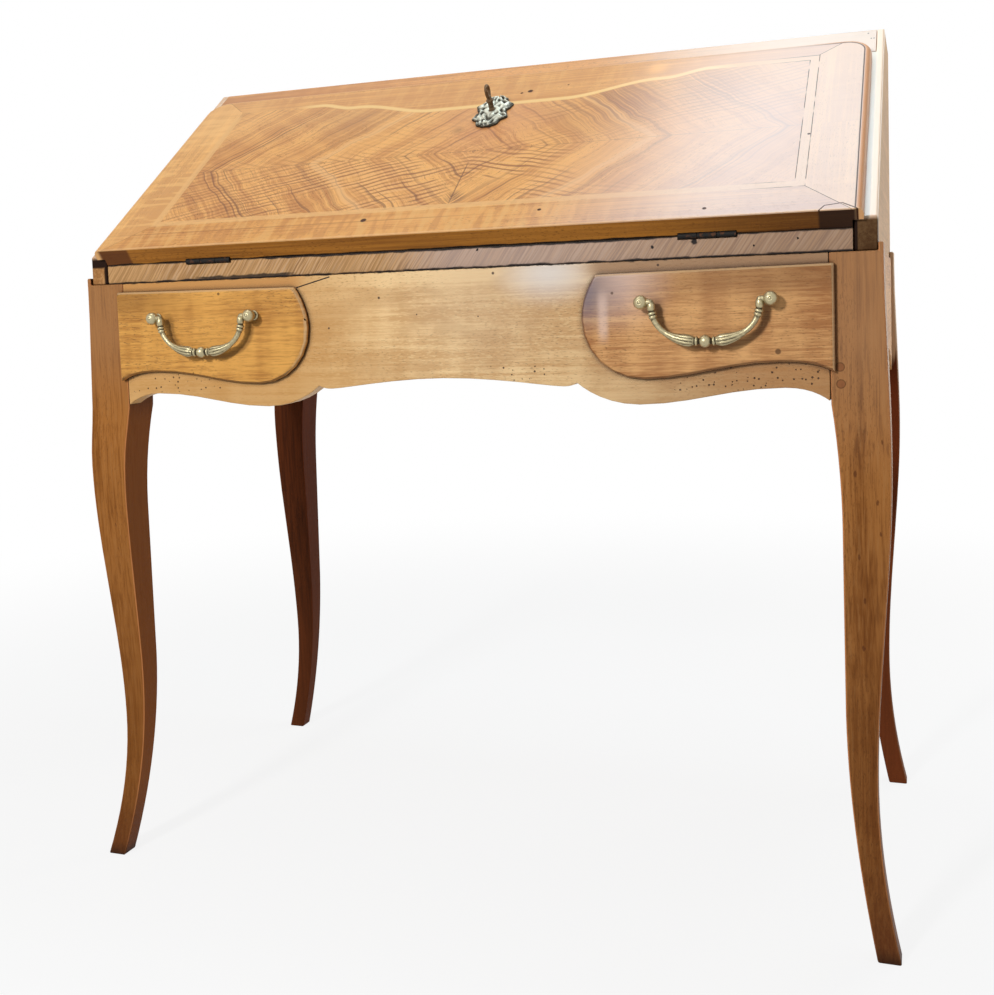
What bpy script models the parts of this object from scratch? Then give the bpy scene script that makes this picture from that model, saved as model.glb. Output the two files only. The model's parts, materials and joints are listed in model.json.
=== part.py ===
"""Slant-front writing desk on cabriole legs, with a fall flap and two shaped drawers.

Metres, +Z up, the front towards -Y. Positions are measured from the front of the legs, on the floor, in the
middle of the width; an empty then moves the whole desk so that its box is centred on the origin.
"""

import bmesh
import bpy
from math import cos, pi, radians, sin, tan
from mathutils import Matrix, Vector

# Clearances

CLEARANCE = 0.0003
SLIDE_CLEARANCE = 0.001
FLAP_GAP = 0.0012
HINGE_GAP = 0.0004

# Case

CASE_WIDTH = 0.876
CASE_DEPTH = 0.480
CASE_RISE = 0.239
CASE_SETBACK = 0.004
WRITING_HEIGHT = 0.706
FLAP_SLOPE = radians(36.3)
SIDE_THICKNESS = 0.021
TOP_THICKNESS = 0.032
TOP_LAP = 0.008
BACK_THICKNESS = 0.009
BED_THICKNESS = 0.0217
RAIL_DEPTH = 0.045

# Legs

LEG_WIDTH = 0.049
LEG_PROUD = 0.005
LEG_HORN = 0.008
KNEE_DROP = 0.209
KNEE_BULGE = 0.0053
CALF_DROP = 0.264
CALF_INSET = 0.0095
SHIN_HEIGHT = 0.25
ANKLE_HEIGHT = 0.165
ANKLE_TUCK = 0.0103
FOOT_FLARE = 0.0106
FOOT_WIDTH = 0.0222
REAR_TUCK = 0.0144
LEG_RINGS = 40

# Aprons

APRON_THICKNESS = 0.022
APRON_END_HEIGHT = 0.1405
APRON_TROUGH_HEIGHT = 0.143
APRON_CREST_HEIGHT = 0.1275
APRON_CUSP_HEIGHT = 0.1205
APRON_DIP_HEIGHT = 0.124
APRON_ARCH_HEIGHT = 0.114
APRON_CREST_INSET = 0.047
APRON_TROUGH_INSET = 0.056
APRON_CUSP_INSET = 0.008
APRON_DIP_INSET = 0.023
APRON_STRIP = 0.010
APRON_STILE = 0.012
SIDE_APRON_SETBACK = 0.003
SIDE_APRON_ARCH_HEIGHT = 0.105
BACK_APRON_HEIGHT = 0.122
TENON_LENGTH = 0.025
TENON_ROOT = 0.005
TENON_THICKNESS = 0.010
TENON_SHOULDER = 0.012

# Drawers

CENTRE_PANEL = 0.308
DRAWER_LAP = 0.005
DRAWER_PROUD = 0.008
DRAWER_FRONT_HEIGHT = 0.107
DRAWER_CREST_RISE = 0.015
DRAWER_TOE_RISE = 0.004
DRAWER_CORNER_INSET = 0.015
DRAWER_CORNER_DROP = 0.002
DRAWER_WAIST_DROP = 0.046
DRAWER_TROUGH_INSET = 0.062
DRAWER_CREST_INSET = 0.050
DRAWER_EDGE_ROUND = 0.004
LIP_INNER = 0.024
LIP_TOP = 0.010
OPENING_HEIGHT = 0.072
BLOCK_DEPTH = 0.012
DRAWER_WALL = 0.009
DRAWER_BOTTOM = 0.006
DRAWER_BOTTOM_RISE = 0.003
DRAWER_BACK_GAP = 0.040
RUNNER_WIDTH = 0.018
RUNNER_HEIGHT = 0.014

# Handles

HANDLE_SPAN = 0.124
HANDLE_DROP = 0.031
POST_BALL_RADIUS = 0.007
POST_REACH = 0.012
POST_NECK_RADIUS = 0.0032
POST_COLLAR_RADIUS = 0.0055
POST_TAIL_RADIUS = 0.0025
POST_TAIL = 0.014
BAIL_DROP = 0.039
BAIL_SHOULDER = 0.010
BAIL_SQUARENESS = 0.8
BAIL_RADIUS = 0.0023
BAIL_LEAF_SWELL = 0.0024
BAIL_LEAF_AT = 0.015
BAIL_LEAF_REACH = 0.0094
BAIL_BALL_RADIUS = 0.0058
PIVOT_RADIUS = 0.0016
PIVOT_DEPTH = 0.004

# Flap, hinges and lock

FLAP_THICKNESS = 0.021
FLAP_REBATE = 0.008
FLAP_LIP = 0.009
FLAP_CORNER = 0.028
FLAP_MOULDING = 0.006
HINGE_LENGTH = 0.057
HINGE_INSET = 0.158
HINGE_LEAF_WIDTH = 0.025
HINGE_LEAF_THICKNESS = 0.0018
KNUCKLE_RADIUS = 0.0032
HINGE_PIN_RADIUS = 0.0014
KEY_HEIGHT = 0.250
KEY_RADIUS = 0.0026
KEY_REACH = 0.040
KEY_BOW_RADIUS = 0.009
KEY_BOW_WIRE = 0.002
KEY_BIT_LENGTH = 0.010
KEY_BIT_WIDTH = 0.0024
KEY_BIT_DEPTH = 0.005
ESCUTCHEON_WIDTH = 0.052
ESCUTCHEON_HEIGHT = 0.088
ESCUTCHEON_THICKNESS = 0.0025
LOCK_WIDTH = 0.080
LOCK_THICKNESS = 0.0134
LOCK_BELOW_KEY = 0.018
LOCK_WALL = 0.0015
LOCK_COVER = 0.004
BOLT_WIDTH = 0.014
BOLT_THICKNESS = 0.004
BOLT_LENGTH = 0.056
BOLT_THROW = 0.012

# Gallery inside the case

GALLERY_HEADROOM = 0.053
GALLERY_GAP = 0.008
GALLERY_BOARD = 0.009
GALLERY_MIDDLE = 0.271
SMALL_DRAWER_HEIGHT = 0.055
SMALL_FRONT = 0.010
SMALL_WALL = 0.006
SMALL_TRAY_DROP = 0.004
SMALL_BACK_GAP = 0.012
KNOB_RADIUS = 0.006
KNOB_REACH = 0.012

# Fineness of round forms

CURVE_STEPS = 6
ROUND_STEPS = 16
BALL_STEPS = 6
BAIL_STEPS = 36
EASE_STEPS = 3
WIRE_STEPS = 2
FLAT_ANGLE = radians(0.5)
ROUND_HANDLE = 0.5523
WELD = 1e-6

# Sizes that follow from the ones above

HALF_CASE = CASE_WIDTH / 2
INNER = HALF_CASE - SIDE_THICKNESS
HINGE_X = HALF_CASE - HINGE_INSET
DESK_HEIGHT = WRITING_HEIGHT + CASE_RISE
TOP_UNDER = DESK_HEIGHT - TOP_THICKNESS
CASE_BOTTOM = WRITING_HEIGHT - BED_THICKNESS
LEG_TOP = CASE_BOTTOM - CLEARANCE
LEG_OUTER = HALF_CASE + LEG_PROUD
LEG_INNER = LEG_OUTER - LEG_WIDTH
SHOULDER = LEG_TOP - APRON_END_HEIGHT
KNEE = LEG_TOP - KNEE_DROP
CALF = LEG_TOP - CALF_DROP
FOOT_INSET = LEG_WIDTH + FOOT_FLARE - FOOT_WIDTH

DRAWER_TOP = LEG_TOP - APRON_STRIP
FRONT_INNER = CENTRE_PANEL / 2
FRONT_OUTER = LEG_INNER + DRAWER_LAP
OPENING_INNER = FRONT_INNER + LIP_INNER
OPENING_OUTER = LEG_INNER - APRON_STILE
OPENING_TOP = DRAWER_TOP - LIP_TOP
OPENING_BOTTOM = OPENING_TOP - OPENING_HEIGHT
DRAWER_X = (OPENING_INNER + OPENING_OUTER) / 2
DRAWER_FLOOR = OPENING_BOTTOM + SLIDE_CLEARANCE
BOX_HALF = (OPENING_OUTER - OPENING_INNER) / 2 - SLIDE_CLEARANCE
BOX_HEIGHT = OPENING_HEIGHT - 2 * SLIDE_CLEARANCE
BOX_END = CASE_DEPTH - APRON_THICKNESS - DRAWER_BACK_GAP
FRONT_FACE = -CLEARANCE - DRAWER_PROUD
HANDLE_RISE = DRAWER_TOP - HANDLE_DROP - DRAWER_FLOOR

OUT_OF_SLOPE = Vector((0, -sin(FLAP_SLOPE), cos(FLAP_SLOPE)))
HINGE_LINE = Vector((0, CASE_SETBACK, WRITING_HEIGHT))
SLANT_POINT = HINGE_LINE + OUT_OF_SLOPE * FLAP_REBATE
SLANT_TOP = (TOP_UNDER - WRITING_HEIGHT - FLAP_REBATE * cos(FLAP_SLOPE)) / sin(FLAP_SLOPE)
FLAP_BODY_HALF = INNER - FLAP_GAP
FLAP_BODY_TOP = SLANT_TOP - FLAP_GAP
FLAP_HALF = INNER + FLAP_LIP
FLAP_TOP = SLANT_TOP + FLAP_LIP
FLAP_BACK_OF_LIP = FLAP_REBATE + CLEARANCE
LOCK_LOW = KEY_HEIGHT - LOCK_BELOW_KEY
LOCK_HIGH = FLAP_BODY_TOP - LOCK_COVER
BOLT_BACK = LOCK_WALL + 2 * CLEARANCE
BIT_BACK = BOLT_BACK + BOLT_THICKNESS + SLIDE_CLEARANCE

GALLERY_BACK = CASE_DEPTH - BACK_THICKNESS - CLEARANCE
GALLERY_TOP = TOP_UNDER - GALLERY_HEADROOM
GALLERY_FRONT = CASE_SETBACK + (GALLERY_TOP - WRITING_HEIGHT + GALLERY_GAP) / tan(FLAP_SLOPE)
SHELF_UNDER = WRITING_HEIGHT + SMALL_DRAWER_HEIGHT
SHELF_TOP = SHELF_UNDER + GALLERY_BOARD

FRONT_REACH = -FRONT_FACE + POST_REACH + POST_BALL_RADIUS
FRAME_SHIFT = (FRONT_REACH - CASE_DEPTH) / 2

# Scene, collections and finishes

for old in list(bpy.data.objects):
    bpy.data.objects.remove(old)

PARTS = bpy.data.collections.new("slant_front_desk")
CUTTERS = bpy.data.collections.new("cutters")
bpy.context.scene.collection.children.link(PARTS)
bpy.context.scene.collection.children.link(CUTTERS)


def finish(name, colour, roughness, metallic=0.0):
    material = bpy.data.materials.new(name)
    material.use_nodes = True
    shader = material.node_tree.nodes["Principled BSDF"]
    shader.inputs["Base Color"].default_value = (*colour, 1)
    shader.inputs["Roughness"].default_value = roughness
    shader.inputs["Metallic"].default_value = metallic
    return material


WALNUT = finish("walnut", (0.45, 0.24, 0.09), 0.38)
LEG_WALNUT = finish("leg_walnut", (0.30, 0.14, 0.05), 0.40)
VENEER = finish("walnut_veneer", (0.58, 0.31, 0.12), 0.28)
INNER_WOOD = finish("inner_wood", (0.50, 0.34, 0.18), 0.60)
BRASS = finish("aged_brass", (0.42, 0.31, 0.14), 0.35, 1.0)
IRON = finish("black_iron", (0.03, 0.028, 0.025), 0.55, 0.8)
STEEL = finish("old_steel", (0.30, 0.28, 0.24), 0.40, 1.0)


# Ways of making a solid


def to_mesh(bm):
    bmesh.ops.recalc_face_normals(bm, faces=bm.faces)
    mesh = bpy.data.meshes.new("solid")
    bm.to_mesh(mesh)
    bm.free()
    return mesh


def box(low, high):
    low = Vector(low)
    high = Vector(high)
    bm = bmesh.new()
    place = Matrix.Translation((low + high) / 2) @ Matrix.Diagonal((*(high - low), 1))
    bmesh.ops.create_cube(bm, size=1, matrix=place)
    return to_mesh(bm)


def rod(start, end, radius):
    start = Vector(start)
    end = Vector(end)
    turn = (end - start).to_track_quat("Z", "Y").to_matrix().to_4x4()
    bm = bmesh.new()
    bmesh.ops.create_cone(
        bm, cap_ends=True, segments=ROUND_STEPS, radius1=radius, radius2=radius,
        depth=(end - start).length, matrix=Matrix.Translation((start + end) / 2) @ turn)
    return to_mesh(bm)


def sawn_on_slant(mesh):
    """Saw a board off along the slanted plane that the flap closes on."""
    bm = bmesh.new()
    bm.from_mesh(mesh)
    everything = bm.verts[:] + bm.edges[:] + bm.faces[:]
    bmesh.ops.bisect_plane(bm, geom=everything, plane_co=SLANT_POINT, plane_no=OUT_OF_SLOPE, clear_outer=True)
    bmesh.ops.holes_fill(bm, edges=bm.edges)
    return to_mesh(bm)


# An outline's planes: drawn from the front, from the side, or lying in the plane itself
FRONT_VIEW = Matrix(((1, 0, 0, 0), (0, 0, 1, 0), (0, 1, 0, 0), (0, 0, 0, 1)))
SIDE_VIEW = Matrix(((0, 0, 1, 0), (1, 0, 0, 0), (0, 1, 0, 0), (0, 0, 0, 1)))
IN_PLANE = Matrix.Identity(4)


def corner(u, v):
    return (u, v, None, None)


def bend(u, v, before, after):
    """A knot of an outline, with its handles given from the knot."""
    return (u, v, before, after)


def mirrored(outline):
    """The other half of an outline, so that the two halves run on from one another."""

    def flip(handle):
        return None if handle is None else (-handle[0], handle[1])

    return [(-u, v, flip(after), flip(before)) for u, v, before, after in reversed(outline)]


def curve_to_mesh(curve):
    """The welded mesh of a curve."""
    guide = bpy.data.objects.new("guide", curve)
    bpy.context.scene.collection.objects.link(guide)
    evaluated = guide.evaluated_get(bpy.context.evaluated_depsgraph_get())
    mesh = bpy.data.meshes.new_from_object(evaluated)
    bpy.data.objects.remove(guide)
    bpy.data.curves.remove(curve)
    bm = bmesh.new()
    bm.from_mesh(mesh)
    bpy.data.meshes.remove(mesh)
    bmesh.ops.remove_doubles(bm, verts=bm.verts, dist=WELD)
    return bm


def plate(outline, low, high, view, rounding=0.0, rounded_side=None, square_edge=None):
    """A board sawn to an outline between two depths, with its rounded_side's edges eased.

    square_edge is the height of an edge of that side which stays sharp.
    """
    curve = bpy.data.curves.new("outline", "CURVE")
    curve.dimensions = "2D"
    curve.fill_mode = "BOTH"
    curve.extrude = (high - low) / 2
    curve.resolution_u = CURVE_STEPS
    spline = curve.splines.new("BEZIER")
    spline.use_cyclic_u = True
    spline.bezier_points.add(len(outline) - 1)
    for knot, (u, v, before, after) in zip(spline.bezier_points, outline):
        knot.co = (u, v, 0)
        knot.handle_left_type = "FREE" if before else "VECTOR"
        knot.handle_right_type = "FREE" if after else "VECTOR"
        if before:
            knot.handle_left = (u + before[0], v + before[1], 0)
        if after:
            knot.handle_right = (u + after[0], v + after[1], 0)
    bm = curve_to_mesh(curve)
    bmesh.ops.dissolve_limit(bm, angle_limit=FLAT_ANGLE, verts=bm.verts, edges=bm.edges)
    bmesh.ops.translate(bm, verts=bm.verts, vec=(0, 0, (low + high) / 2))
    if rounding:
        edges = []
        for edge in bm.edges:
            ends = [vert.co for vert in edge.verts]
            on_side = all(abs(end.z - rounded_side) < CLEARANCE for end in ends)
            stays = square_edge is not None and all(abs(end.y - square_edge) < CLEARANCE for end in ends)
            if on_side and not stays:
                edges.append(edge)
        bmesh.ops.bevel(
            bm, geom=edges, offset=rounding, segments=EASE_STEPS, profile=0.5, affect="EDGES", material=-1,
            clamp_overlap=True)
    bmesh.ops.transform(bm, matrix=view, verts=bm.verts)
    return to_mesh(bm)


def ball_profile(radius, centre, low):
    """Half a round outline, from its top down to the height called low."""
    end = pi / 2
    start = -pi / 2
    arc = [end + (start - end) * step / (2 * BALL_STEPS) for step in range(2 * BALL_STEPS + 1)]
    knots = [(radius * cos(angle), centre + radius * sin(angle)) for angle in arc]
    knots[0] = (0, centre + radius)
    return [knot for knot in knots if knot[1] > low]


# Ways of placing a solid


def empty(name, location=(0, 0, 0), rotation=(0, 0, 0), parent=None):
    obj = bpy.data.objects.new(name, None)
    obj.location = location
    obj.rotation_euler = rotation
    obj.parent = parent
    PARTS.objects.link(obj)
    return obj


DESK = empty("desk_frame", (0, FRAME_SHIFT, 0))


def add(name, mesh, material, parent=DESK, location=(0, 0, 0), rotation=(0, 0, 0)):
    mesh.materials.append(material)
    obj = bpy.data.objects.new(name, mesh)
    obj.parent = parent
    obj.location = location
    obj.rotation_euler = rotation
    PARTS.objects.link(obj)
    return obj


def tool(name, mesh, parent=DESK, location=(0, 0, 0)):
    """A cutter, or a piece that is joined to another."""
    obj = bpy.data.objects.new(name, mesh)
    obj.parent = parent
    obj.location = location
    obj.hide_render = True
    obj.display_type = "WIRE"
    CUTTERS.objects.link(obj)
    return obj


def combine(obj, cutter, operation):
    boolean = obj.modifiers.new(cutter.name, "BOOLEAN")
    boolean.operation = operation
    boolean.solver = "EXACT"
    boolean.object = cutter


def cut(obj, cutter):
    combine(obj, cutter, "DIFFERENCE")


def join(obj, cutter):
    combine(obj, cutter, "UNION")


def turned(name, profile, material, parent, location, rotation):
    """A turned piece from (radius, height) knots, top to bottom."""
    mesh = bpy.data.meshes.new(name)
    mesh.from_pydata(
        [(radius, 0, height) for radius, height in profile],
        [(knot, knot + 1) for knot in range(len(profile) - 1)], [])
    obj = add(name, mesh, material, parent, location, rotation)
    screw = obj.modifiers.new("turning", "SCREW")
    screw.axis = "Z"
    screw.steps = ROUND_STEPS
    screw.render_steps = ROUND_STEPS
    screw.use_merge_vertices = True
    screw.merge_threshold = WELD * 10
    return obj


def tenon(apron, leg, low, high):
    """A tenon on an apron's end and, a clearance larger, its mortise in the leg."""
    low = Vector(low)
    high = Vector(high)
    room = Vector((CLEARANCE, CLEARANCE, CLEARANCE))
    name = apron.name + "_in_" + leg.name
    join(apron, tool(name + "_tenon", box(low, high)))
    cut(leg, tool(name + "_mortise", box(low - room, high + room)))


# Legs


def ease(share):
    share = min(max(share, 0), 1)
    return share * share * (3 - 2 * share)


def leg_sweep(height, straight_to):
    """How far a leg's outer face stands out, straight down to the height straight_to."""
    if height > KNEE:
        return KNEE_BULGE * ease((straight_to - height) / (straight_to - KNEE))
    if height > ANKLE_HEIGHT:
        return KNEE_BULGE - (KNEE_BULGE + ANKLE_TUCK) * ease((KNEE - height) / (KNEE - ANKLE_HEIGHT))
    return (FOOT_FLARE + ANKLE_TUCK) * (1 - height / ANKLE_HEIGHT) ** 2 - ANKLE_TUCK


def leg_inset(height):
    """How far a leg's inner face draws in from the stile's inner face."""
    if height > SHOULDER:
        return 0
    if height > CALF:
        return CALF_INSET * (1 - ((height - CALF) / (SHOULDER - CALF)) ** 2)
    if height > SHIN_HEIGHT:
        return CALF_INSET
    return CALF_INSET + (FOOT_INSET - CALF_INSET) * (1 - height / SHIN_HEIGHT) ** 2


def leg(name, side, rear):
    """A leg; a rear one is as thick as a front one, but its back leans in to the foot instead of sweeping."""
    bm = bmesh.new()
    bmesh.ops.create_cube(bm, size=1)
    uprights = [edge for edge in bm.edges if edge.verts[0].co.z * edge.verts[1].co.z < 0]
    bmesh.ops.subdivide_edges(bm, edges=uprights, cuts=LEG_RINGS, use_grid_fill=True)
    for vert in bm.verts:
        height = (vert.co.z + 0.5) * (LEG_TOP + LEG_HORN)
        across = LEG_OUTER + leg_sweep(height, LEG_TOP)
        if vert.co.x < 0:
            across = LEG_INNER + leg_inset(height)
        face = -leg_sweep(height, SHOULDER)
        thick = LEG_WIDTH - leg_inset(height) - face
        if rear:
            face = REAR_TUCK * (1 - min(height / SHOULDER, 1))
        depth = face + thick if vert.co.y > 0 else face
        vert.co = (side * across, CASE_DEPTH - depth if rear else depth, height)
    obj = add(name, to_mesh(bm), LEG_WALNUT)
    near = side * (LEG_INNER - LEG_WIDTH)
    far = side * (HALF_CASE + CLEARANCE)
    seat = box((min(near, far), -LEG_WIDTH, LEG_TOP), (max(near, far), CASE_DEPTH + LEG_WIDTH, DESK_HEIGHT))
    cut(obj, tool(name + "_seat", seat))
    return obj


# Aprons

APRON_END = LEG_INNER - CLEARANCE


def apron_level(height):
    return LEG_TOP - height


def front_apron(legs):
    crest = FRONT_OUTER - APRON_CREST_INSET
    trough = FRONT_INNER + APRON_TROUGH_INSET
    cusp = FRONT_INNER - APRON_CUSP_INSET
    dip = FRONT_INNER - APRON_DIP_INSET
    cusp_rise = APRON_TROUGH_HEIGHT - APRON_CUSP_HEIGHT
    dip_drop = APRON_DIP_HEIGHT - APRON_CUSP_HEIGHT
    end_drop = APRON_END_HEIGHT - APRON_CREST_HEIGHT
    half = [
        bend(0, apron_level(APRON_ARCH_HEIGHT), (-0.45 * dip, 0), (0.45 * dip, 0)),
        bend(dip, apron_level(APRON_DIP_HEIGHT), (-0.11 * dip, 0), (0.4 * (cusp - dip), 0)),
        bend(
            cusp, apron_level(APRON_CUSP_HEIGHT), (-0.33 * (cusp - dip), -0.9 * dip_drop),
            (0.14 * (trough - cusp), -0.36 * cusp_rise)),
        bend(
            trough, apron_level(APRON_TROUGH_HEIGHT), (-0.5 * (trough - cusp), 0),
            (0.37 * (crest - trough), 0)),
        bend(
            crest, apron_level(APRON_CREST_HEIGHT), (-0.39 * (crest - trough), 0),
            (0.5 * (APRON_END - crest), 0)),
        bend(APRON_END, SHOULDER, (-0.21 * (APRON_END - crest), 0.5 * end_drop), None),
        corner(APRON_END, LEG_TOP),
    ]
    outline = mirrored(half[1:]) + half
    apron = add("front_apron", plate(outline, 0, APRON_THICKNESS, FRONT_VIEW), WALNUT)
    for side, word in ((-1, "left"), (1, "right")):
        ends = sorted((side * OPENING_INNER, side * OPENING_OUTER))
        opening = box(
            (ends[0], -APRON_THICKNESS, OPENING_BOTTOM), (ends[1], 2 * APRON_THICKNESS, OPENING_TOP))
        cut(apron, tool(word + "_drawer_opening", opening))
        cross_tenon(apron, legs["leg_front_" + word], side, APRON_THICKNESS / 2, SHOULDER)


def cross_tenon(apron, leg_obj, side, depth, bottom):
    ends = sorted((side * (LEG_INNER - TENON_ROOT), side * (LEG_INNER + TENON_LENGTH)))
    tenon(
        apron, leg_obj,
        (ends[0], depth - TENON_THICKNESS / 2, bottom + TENON_SHOULDER),
        (ends[1], depth + TENON_THICKNESS / 2, LEG_TOP - TENON_SHOULDER))


def back_apron(legs):
    front = CASE_DEPTH - APRON_THICKNESS
    bottom = apron_level(BACK_APRON_HEIGHT)
    board = box((-APRON_END, front, bottom), (APRON_END, CASE_DEPTH, LEG_TOP))
    apron = add("back_apron", board, LEG_WALNUT)
    for side, word in ((-1, "left"), (1, "right")):
        cross_tenon(apron, legs["leg_rear_" + word], side, front + APRON_THICKNESS / 2, bottom)


def side_apron(word, side, legs):
    first = LEG_WIDTH + CLEARANCE
    last = CASE_DEPTH - LEG_WIDTH - CLEARANCE
    reach = (last - first) / 3
    lift = (APRON_END_HEIGHT - SIDE_APRON_ARCH_HEIGHT) / 3
    outline = [
        corner(first, LEG_TOP),
        bend(first, SHOULDER, None, (reach / 3, lift)),
        bend((first + last) / 2, apron_level(SIDE_APRON_ARCH_HEIGHT), (-reach, 0), (reach, 0)),
        bend(last, SHOULDER, (-reach / 3, lift), None),
        corner(last, LEG_TOP),
    ]
    outer = LEG_OUTER - SIDE_APRON_SETBACK
    faces = sorted((side * (outer - APRON_THICKNESS), side * outer))
    apron = add("side_apron_" + word, plate(outline, *faces, SIDE_VIEW), LEG_WALNUT)
    middle = (faces[0] + faces[1]) / 2
    for place, joint, into in (("front", LEG_WIDTH, -1), ("rear", CASE_DEPTH - LEG_WIDTH, 1)):
        ends = sorted((joint - into * TENON_ROOT, joint + into * TENON_LENGTH))
        tenon(
            apron, legs["leg_" + place + "_" + word],
            (middle - TENON_THICKNESS / 2, ends[0], SHOULDER + TENON_SHOULDER),
            (middle + TENON_THICKNESS / 2, ends[1], LEG_TOP - TENON_SHOULDER))


# Case


def case():
    fit = INNER - CLEARANCE
    back = CASE_DEPTH - BACK_THICKNESS
    rail_back = CASE_SETBACK + RAIL_DEPTH
    for side, word in ((-1, "left"), (1, "right")):
        faces = sorted((side * INNER, side * HALF_CASE))
        panel = box((faces[0], CASE_SETBACK, CASE_BOTTOM), (faces[1], CASE_DEPTH, DESK_HEIGHT))
        panel = add("case_side_" + word, sawn_on_slant(panel), WALNUT)
        notch = sorted((side * (INNER - SIDE_THICKNESS), side * (HALF_CASE - TOP_LAP)))
        seat = box((notch[0], 0, TOP_UNDER - CLEARANCE), (notch[1], 2 * CASE_DEPTH, 2 * DESK_HEIGHT))
        cut(panel, tool("top_seat_" + word, seat))
    top_half = HALF_CASE - TOP_LAP - CLEARANCE
    top = box((-top_half, CASE_SETBACK, TOP_UNDER), (top_half, CASE_DEPTH, DESK_HEIGHT))
    top = add("top_board", sawn_on_slant(top), WALNUT)
    add("back_panel", box((-fit, back, CASE_BOTTOM), (fit, CASE_DEPTH, TOP_UNDER - CLEARANCE)), INNER_WOOD)
    bed = box((-fit, rail_back + CLEARANCE, CASE_BOTTOM), (fit, back - CLEARANCE, WRITING_HEIGHT))
    add("writing_bed", bed, WALNUT)
    rail_half = INNER - FLAP_GAP
    rail = box((-rail_half, CASE_SETBACK, CASE_BOTTOM), (rail_half, rail_back, WRITING_HEIGHT))
    return top, add("front_rail", rail, VENEER)


# Drawers


def drawer_outline(side):
    """A drawer front's outline, with its origin under the middle of the drawer box."""
    inner = FRONT_INNER - DRAWER_X
    outer = FRONT_OUTER - DRAWER_X
    top = DRAWER_TOP - DRAWER_FLOOR
    low = top - DRAWER_FRONT_HEIGHT
    waist = top - DRAWER_WAIST_DROP
    trough = inner + DRAWER_TROUGH_INSET
    crest = outer - DRAWER_CREST_INSET
    toe_drop = DRAWER_CREST_RISE - DRAWER_TOE_RISE
    outline = [
        corner(outer, top),
        bend(
            inner + DRAWER_CORNER_INSET, top - DRAWER_CORNER_DROP, None,
            (-0.47 * DRAWER_CORNER_INSET, -0.22 * DRAWER_WAIST_DROP)),
        bend(inner, waist, (0, 0.37 * DRAWER_WAIST_DROP), (0, -ROUND_HANDLE * (waist - low))),
        bend(trough, low, (-ROUND_HANDLE * (trough - inner), 0), (0.38 * (crest - trough), 0)),
        bend(crest, low + DRAWER_CREST_RISE, (-0.39 * (crest - trough), 0), (0.44 * (outer - crest), 0)),
        bend(outer, low + DRAWER_TOE_RISE, (-0.24 * (outer - crest), 0.73 * toe_drop), None),
    ]
    return outline if side > 0 else mirrored(outline)


def drawer(word, side):
    slide = empty(word + "_drawer_slide", (side * DRAWER_X, 0, DRAWER_FLOOR), parent=DESK)
    name = word + "_drawer_"
    face = plate(
        drawer_outline(side), FRONT_FACE, -CLEARANCE, FRONT_VIEW, DRAWER_EDGE_ROUND, FRONT_FACE)
    front = add(name + "front", face, WALNUT, slide)
    block = box((-BOX_HALF, FRONT_FACE / 2, 0), (BOX_HALF, BLOCK_DEPTH, BOX_HEIGHT))
    join(front, tool(name + "block", block, slide))
    behind = BLOCK_DEPTH + CLEARANCE
    inside = BOX_HALF - DRAWER_WALL - CLEARANCE
    for hand, place in ((-1, "left"), (1, "right")):
        faces = sorted((hand * (BOX_HALF - DRAWER_WALL), hand * BOX_HALF))
        wall = box((faces[0], behind, 0), (faces[1], BOX_END, BOX_HEIGHT))
        add(name + place + "_side", wall, INNER_WOOD, slide)
    back = BOX_END - DRAWER_WALL
    add(name + "back", box((-inside, back, 0), (inside, BOX_END, BOX_HEIGHT)), INNER_WOOD, slide)
    bottom = box(
        (-inside, behind, DRAWER_BOTTOM_RISE),
        (inside, back - CLEARANCE, DRAWER_BOTTOM_RISE + DRAWER_BOTTOM))
    add(name + "bottom", bottom, INNER_WOOD, slide)
    handle(word, slide, front)


def handle(word, slide, front):
    bail_line = FRONT_FACE - POST_REACH
    for hand, place in ((-1, "left"), (1, "right")):
        across = hand * HANDLE_SPAN / 2
        name = word + "_handle_" + place + "_post"
        profile = ball_profile(POST_BALL_RADIUS, POST_REACH, POST_REACH / 2)
        profile += [
            (POST_NECK_RADIUS, POST_REACH / 2),
            (POST_NECK_RADIUS, POST_REACH / 5),
            (POST_COLLAR_RADIUS, POST_REACH / 8),
            (POST_COLLAR_RADIUS, CLEARANCE),
            (POST_TAIL_RADIUS, CLEARANCE),
            (POST_TAIL_RADIUS, -POST_TAIL),
            (0, -POST_TAIL),
        ]
        post = turned(name, profile, BRASS, slide, (across, FRONT_FACE, HANDLE_RISE), (pi / 2, 0, 0))
        bore = rod(
            (across, FRONT_FACE - POST_TAIL, HANDLE_RISE),
            (across, FRONT_FACE + POST_TAIL + SLIDE_CLEARANCE, HANDLE_RISE), POST_TAIL_RADIUS + CLEARANCE)
        cut(front, tool(name + "_bore", bore, slide))
        mouth = across - hand * POST_BALL_RADIUS
        ear = rod(
            (mouth - hand * PIVOT_DEPTH, bail_line, HANDLE_RISE),
            (mouth + hand * PIVOT_DEPTH, bail_line, HANDLE_RISE), PIVOT_RADIUS + CLEARANCE)
        cut(post, tool(name + "_ear", ear, slide))
    bail(word + "_bail", slide, (0, bail_line, HANDLE_RISE))


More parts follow.
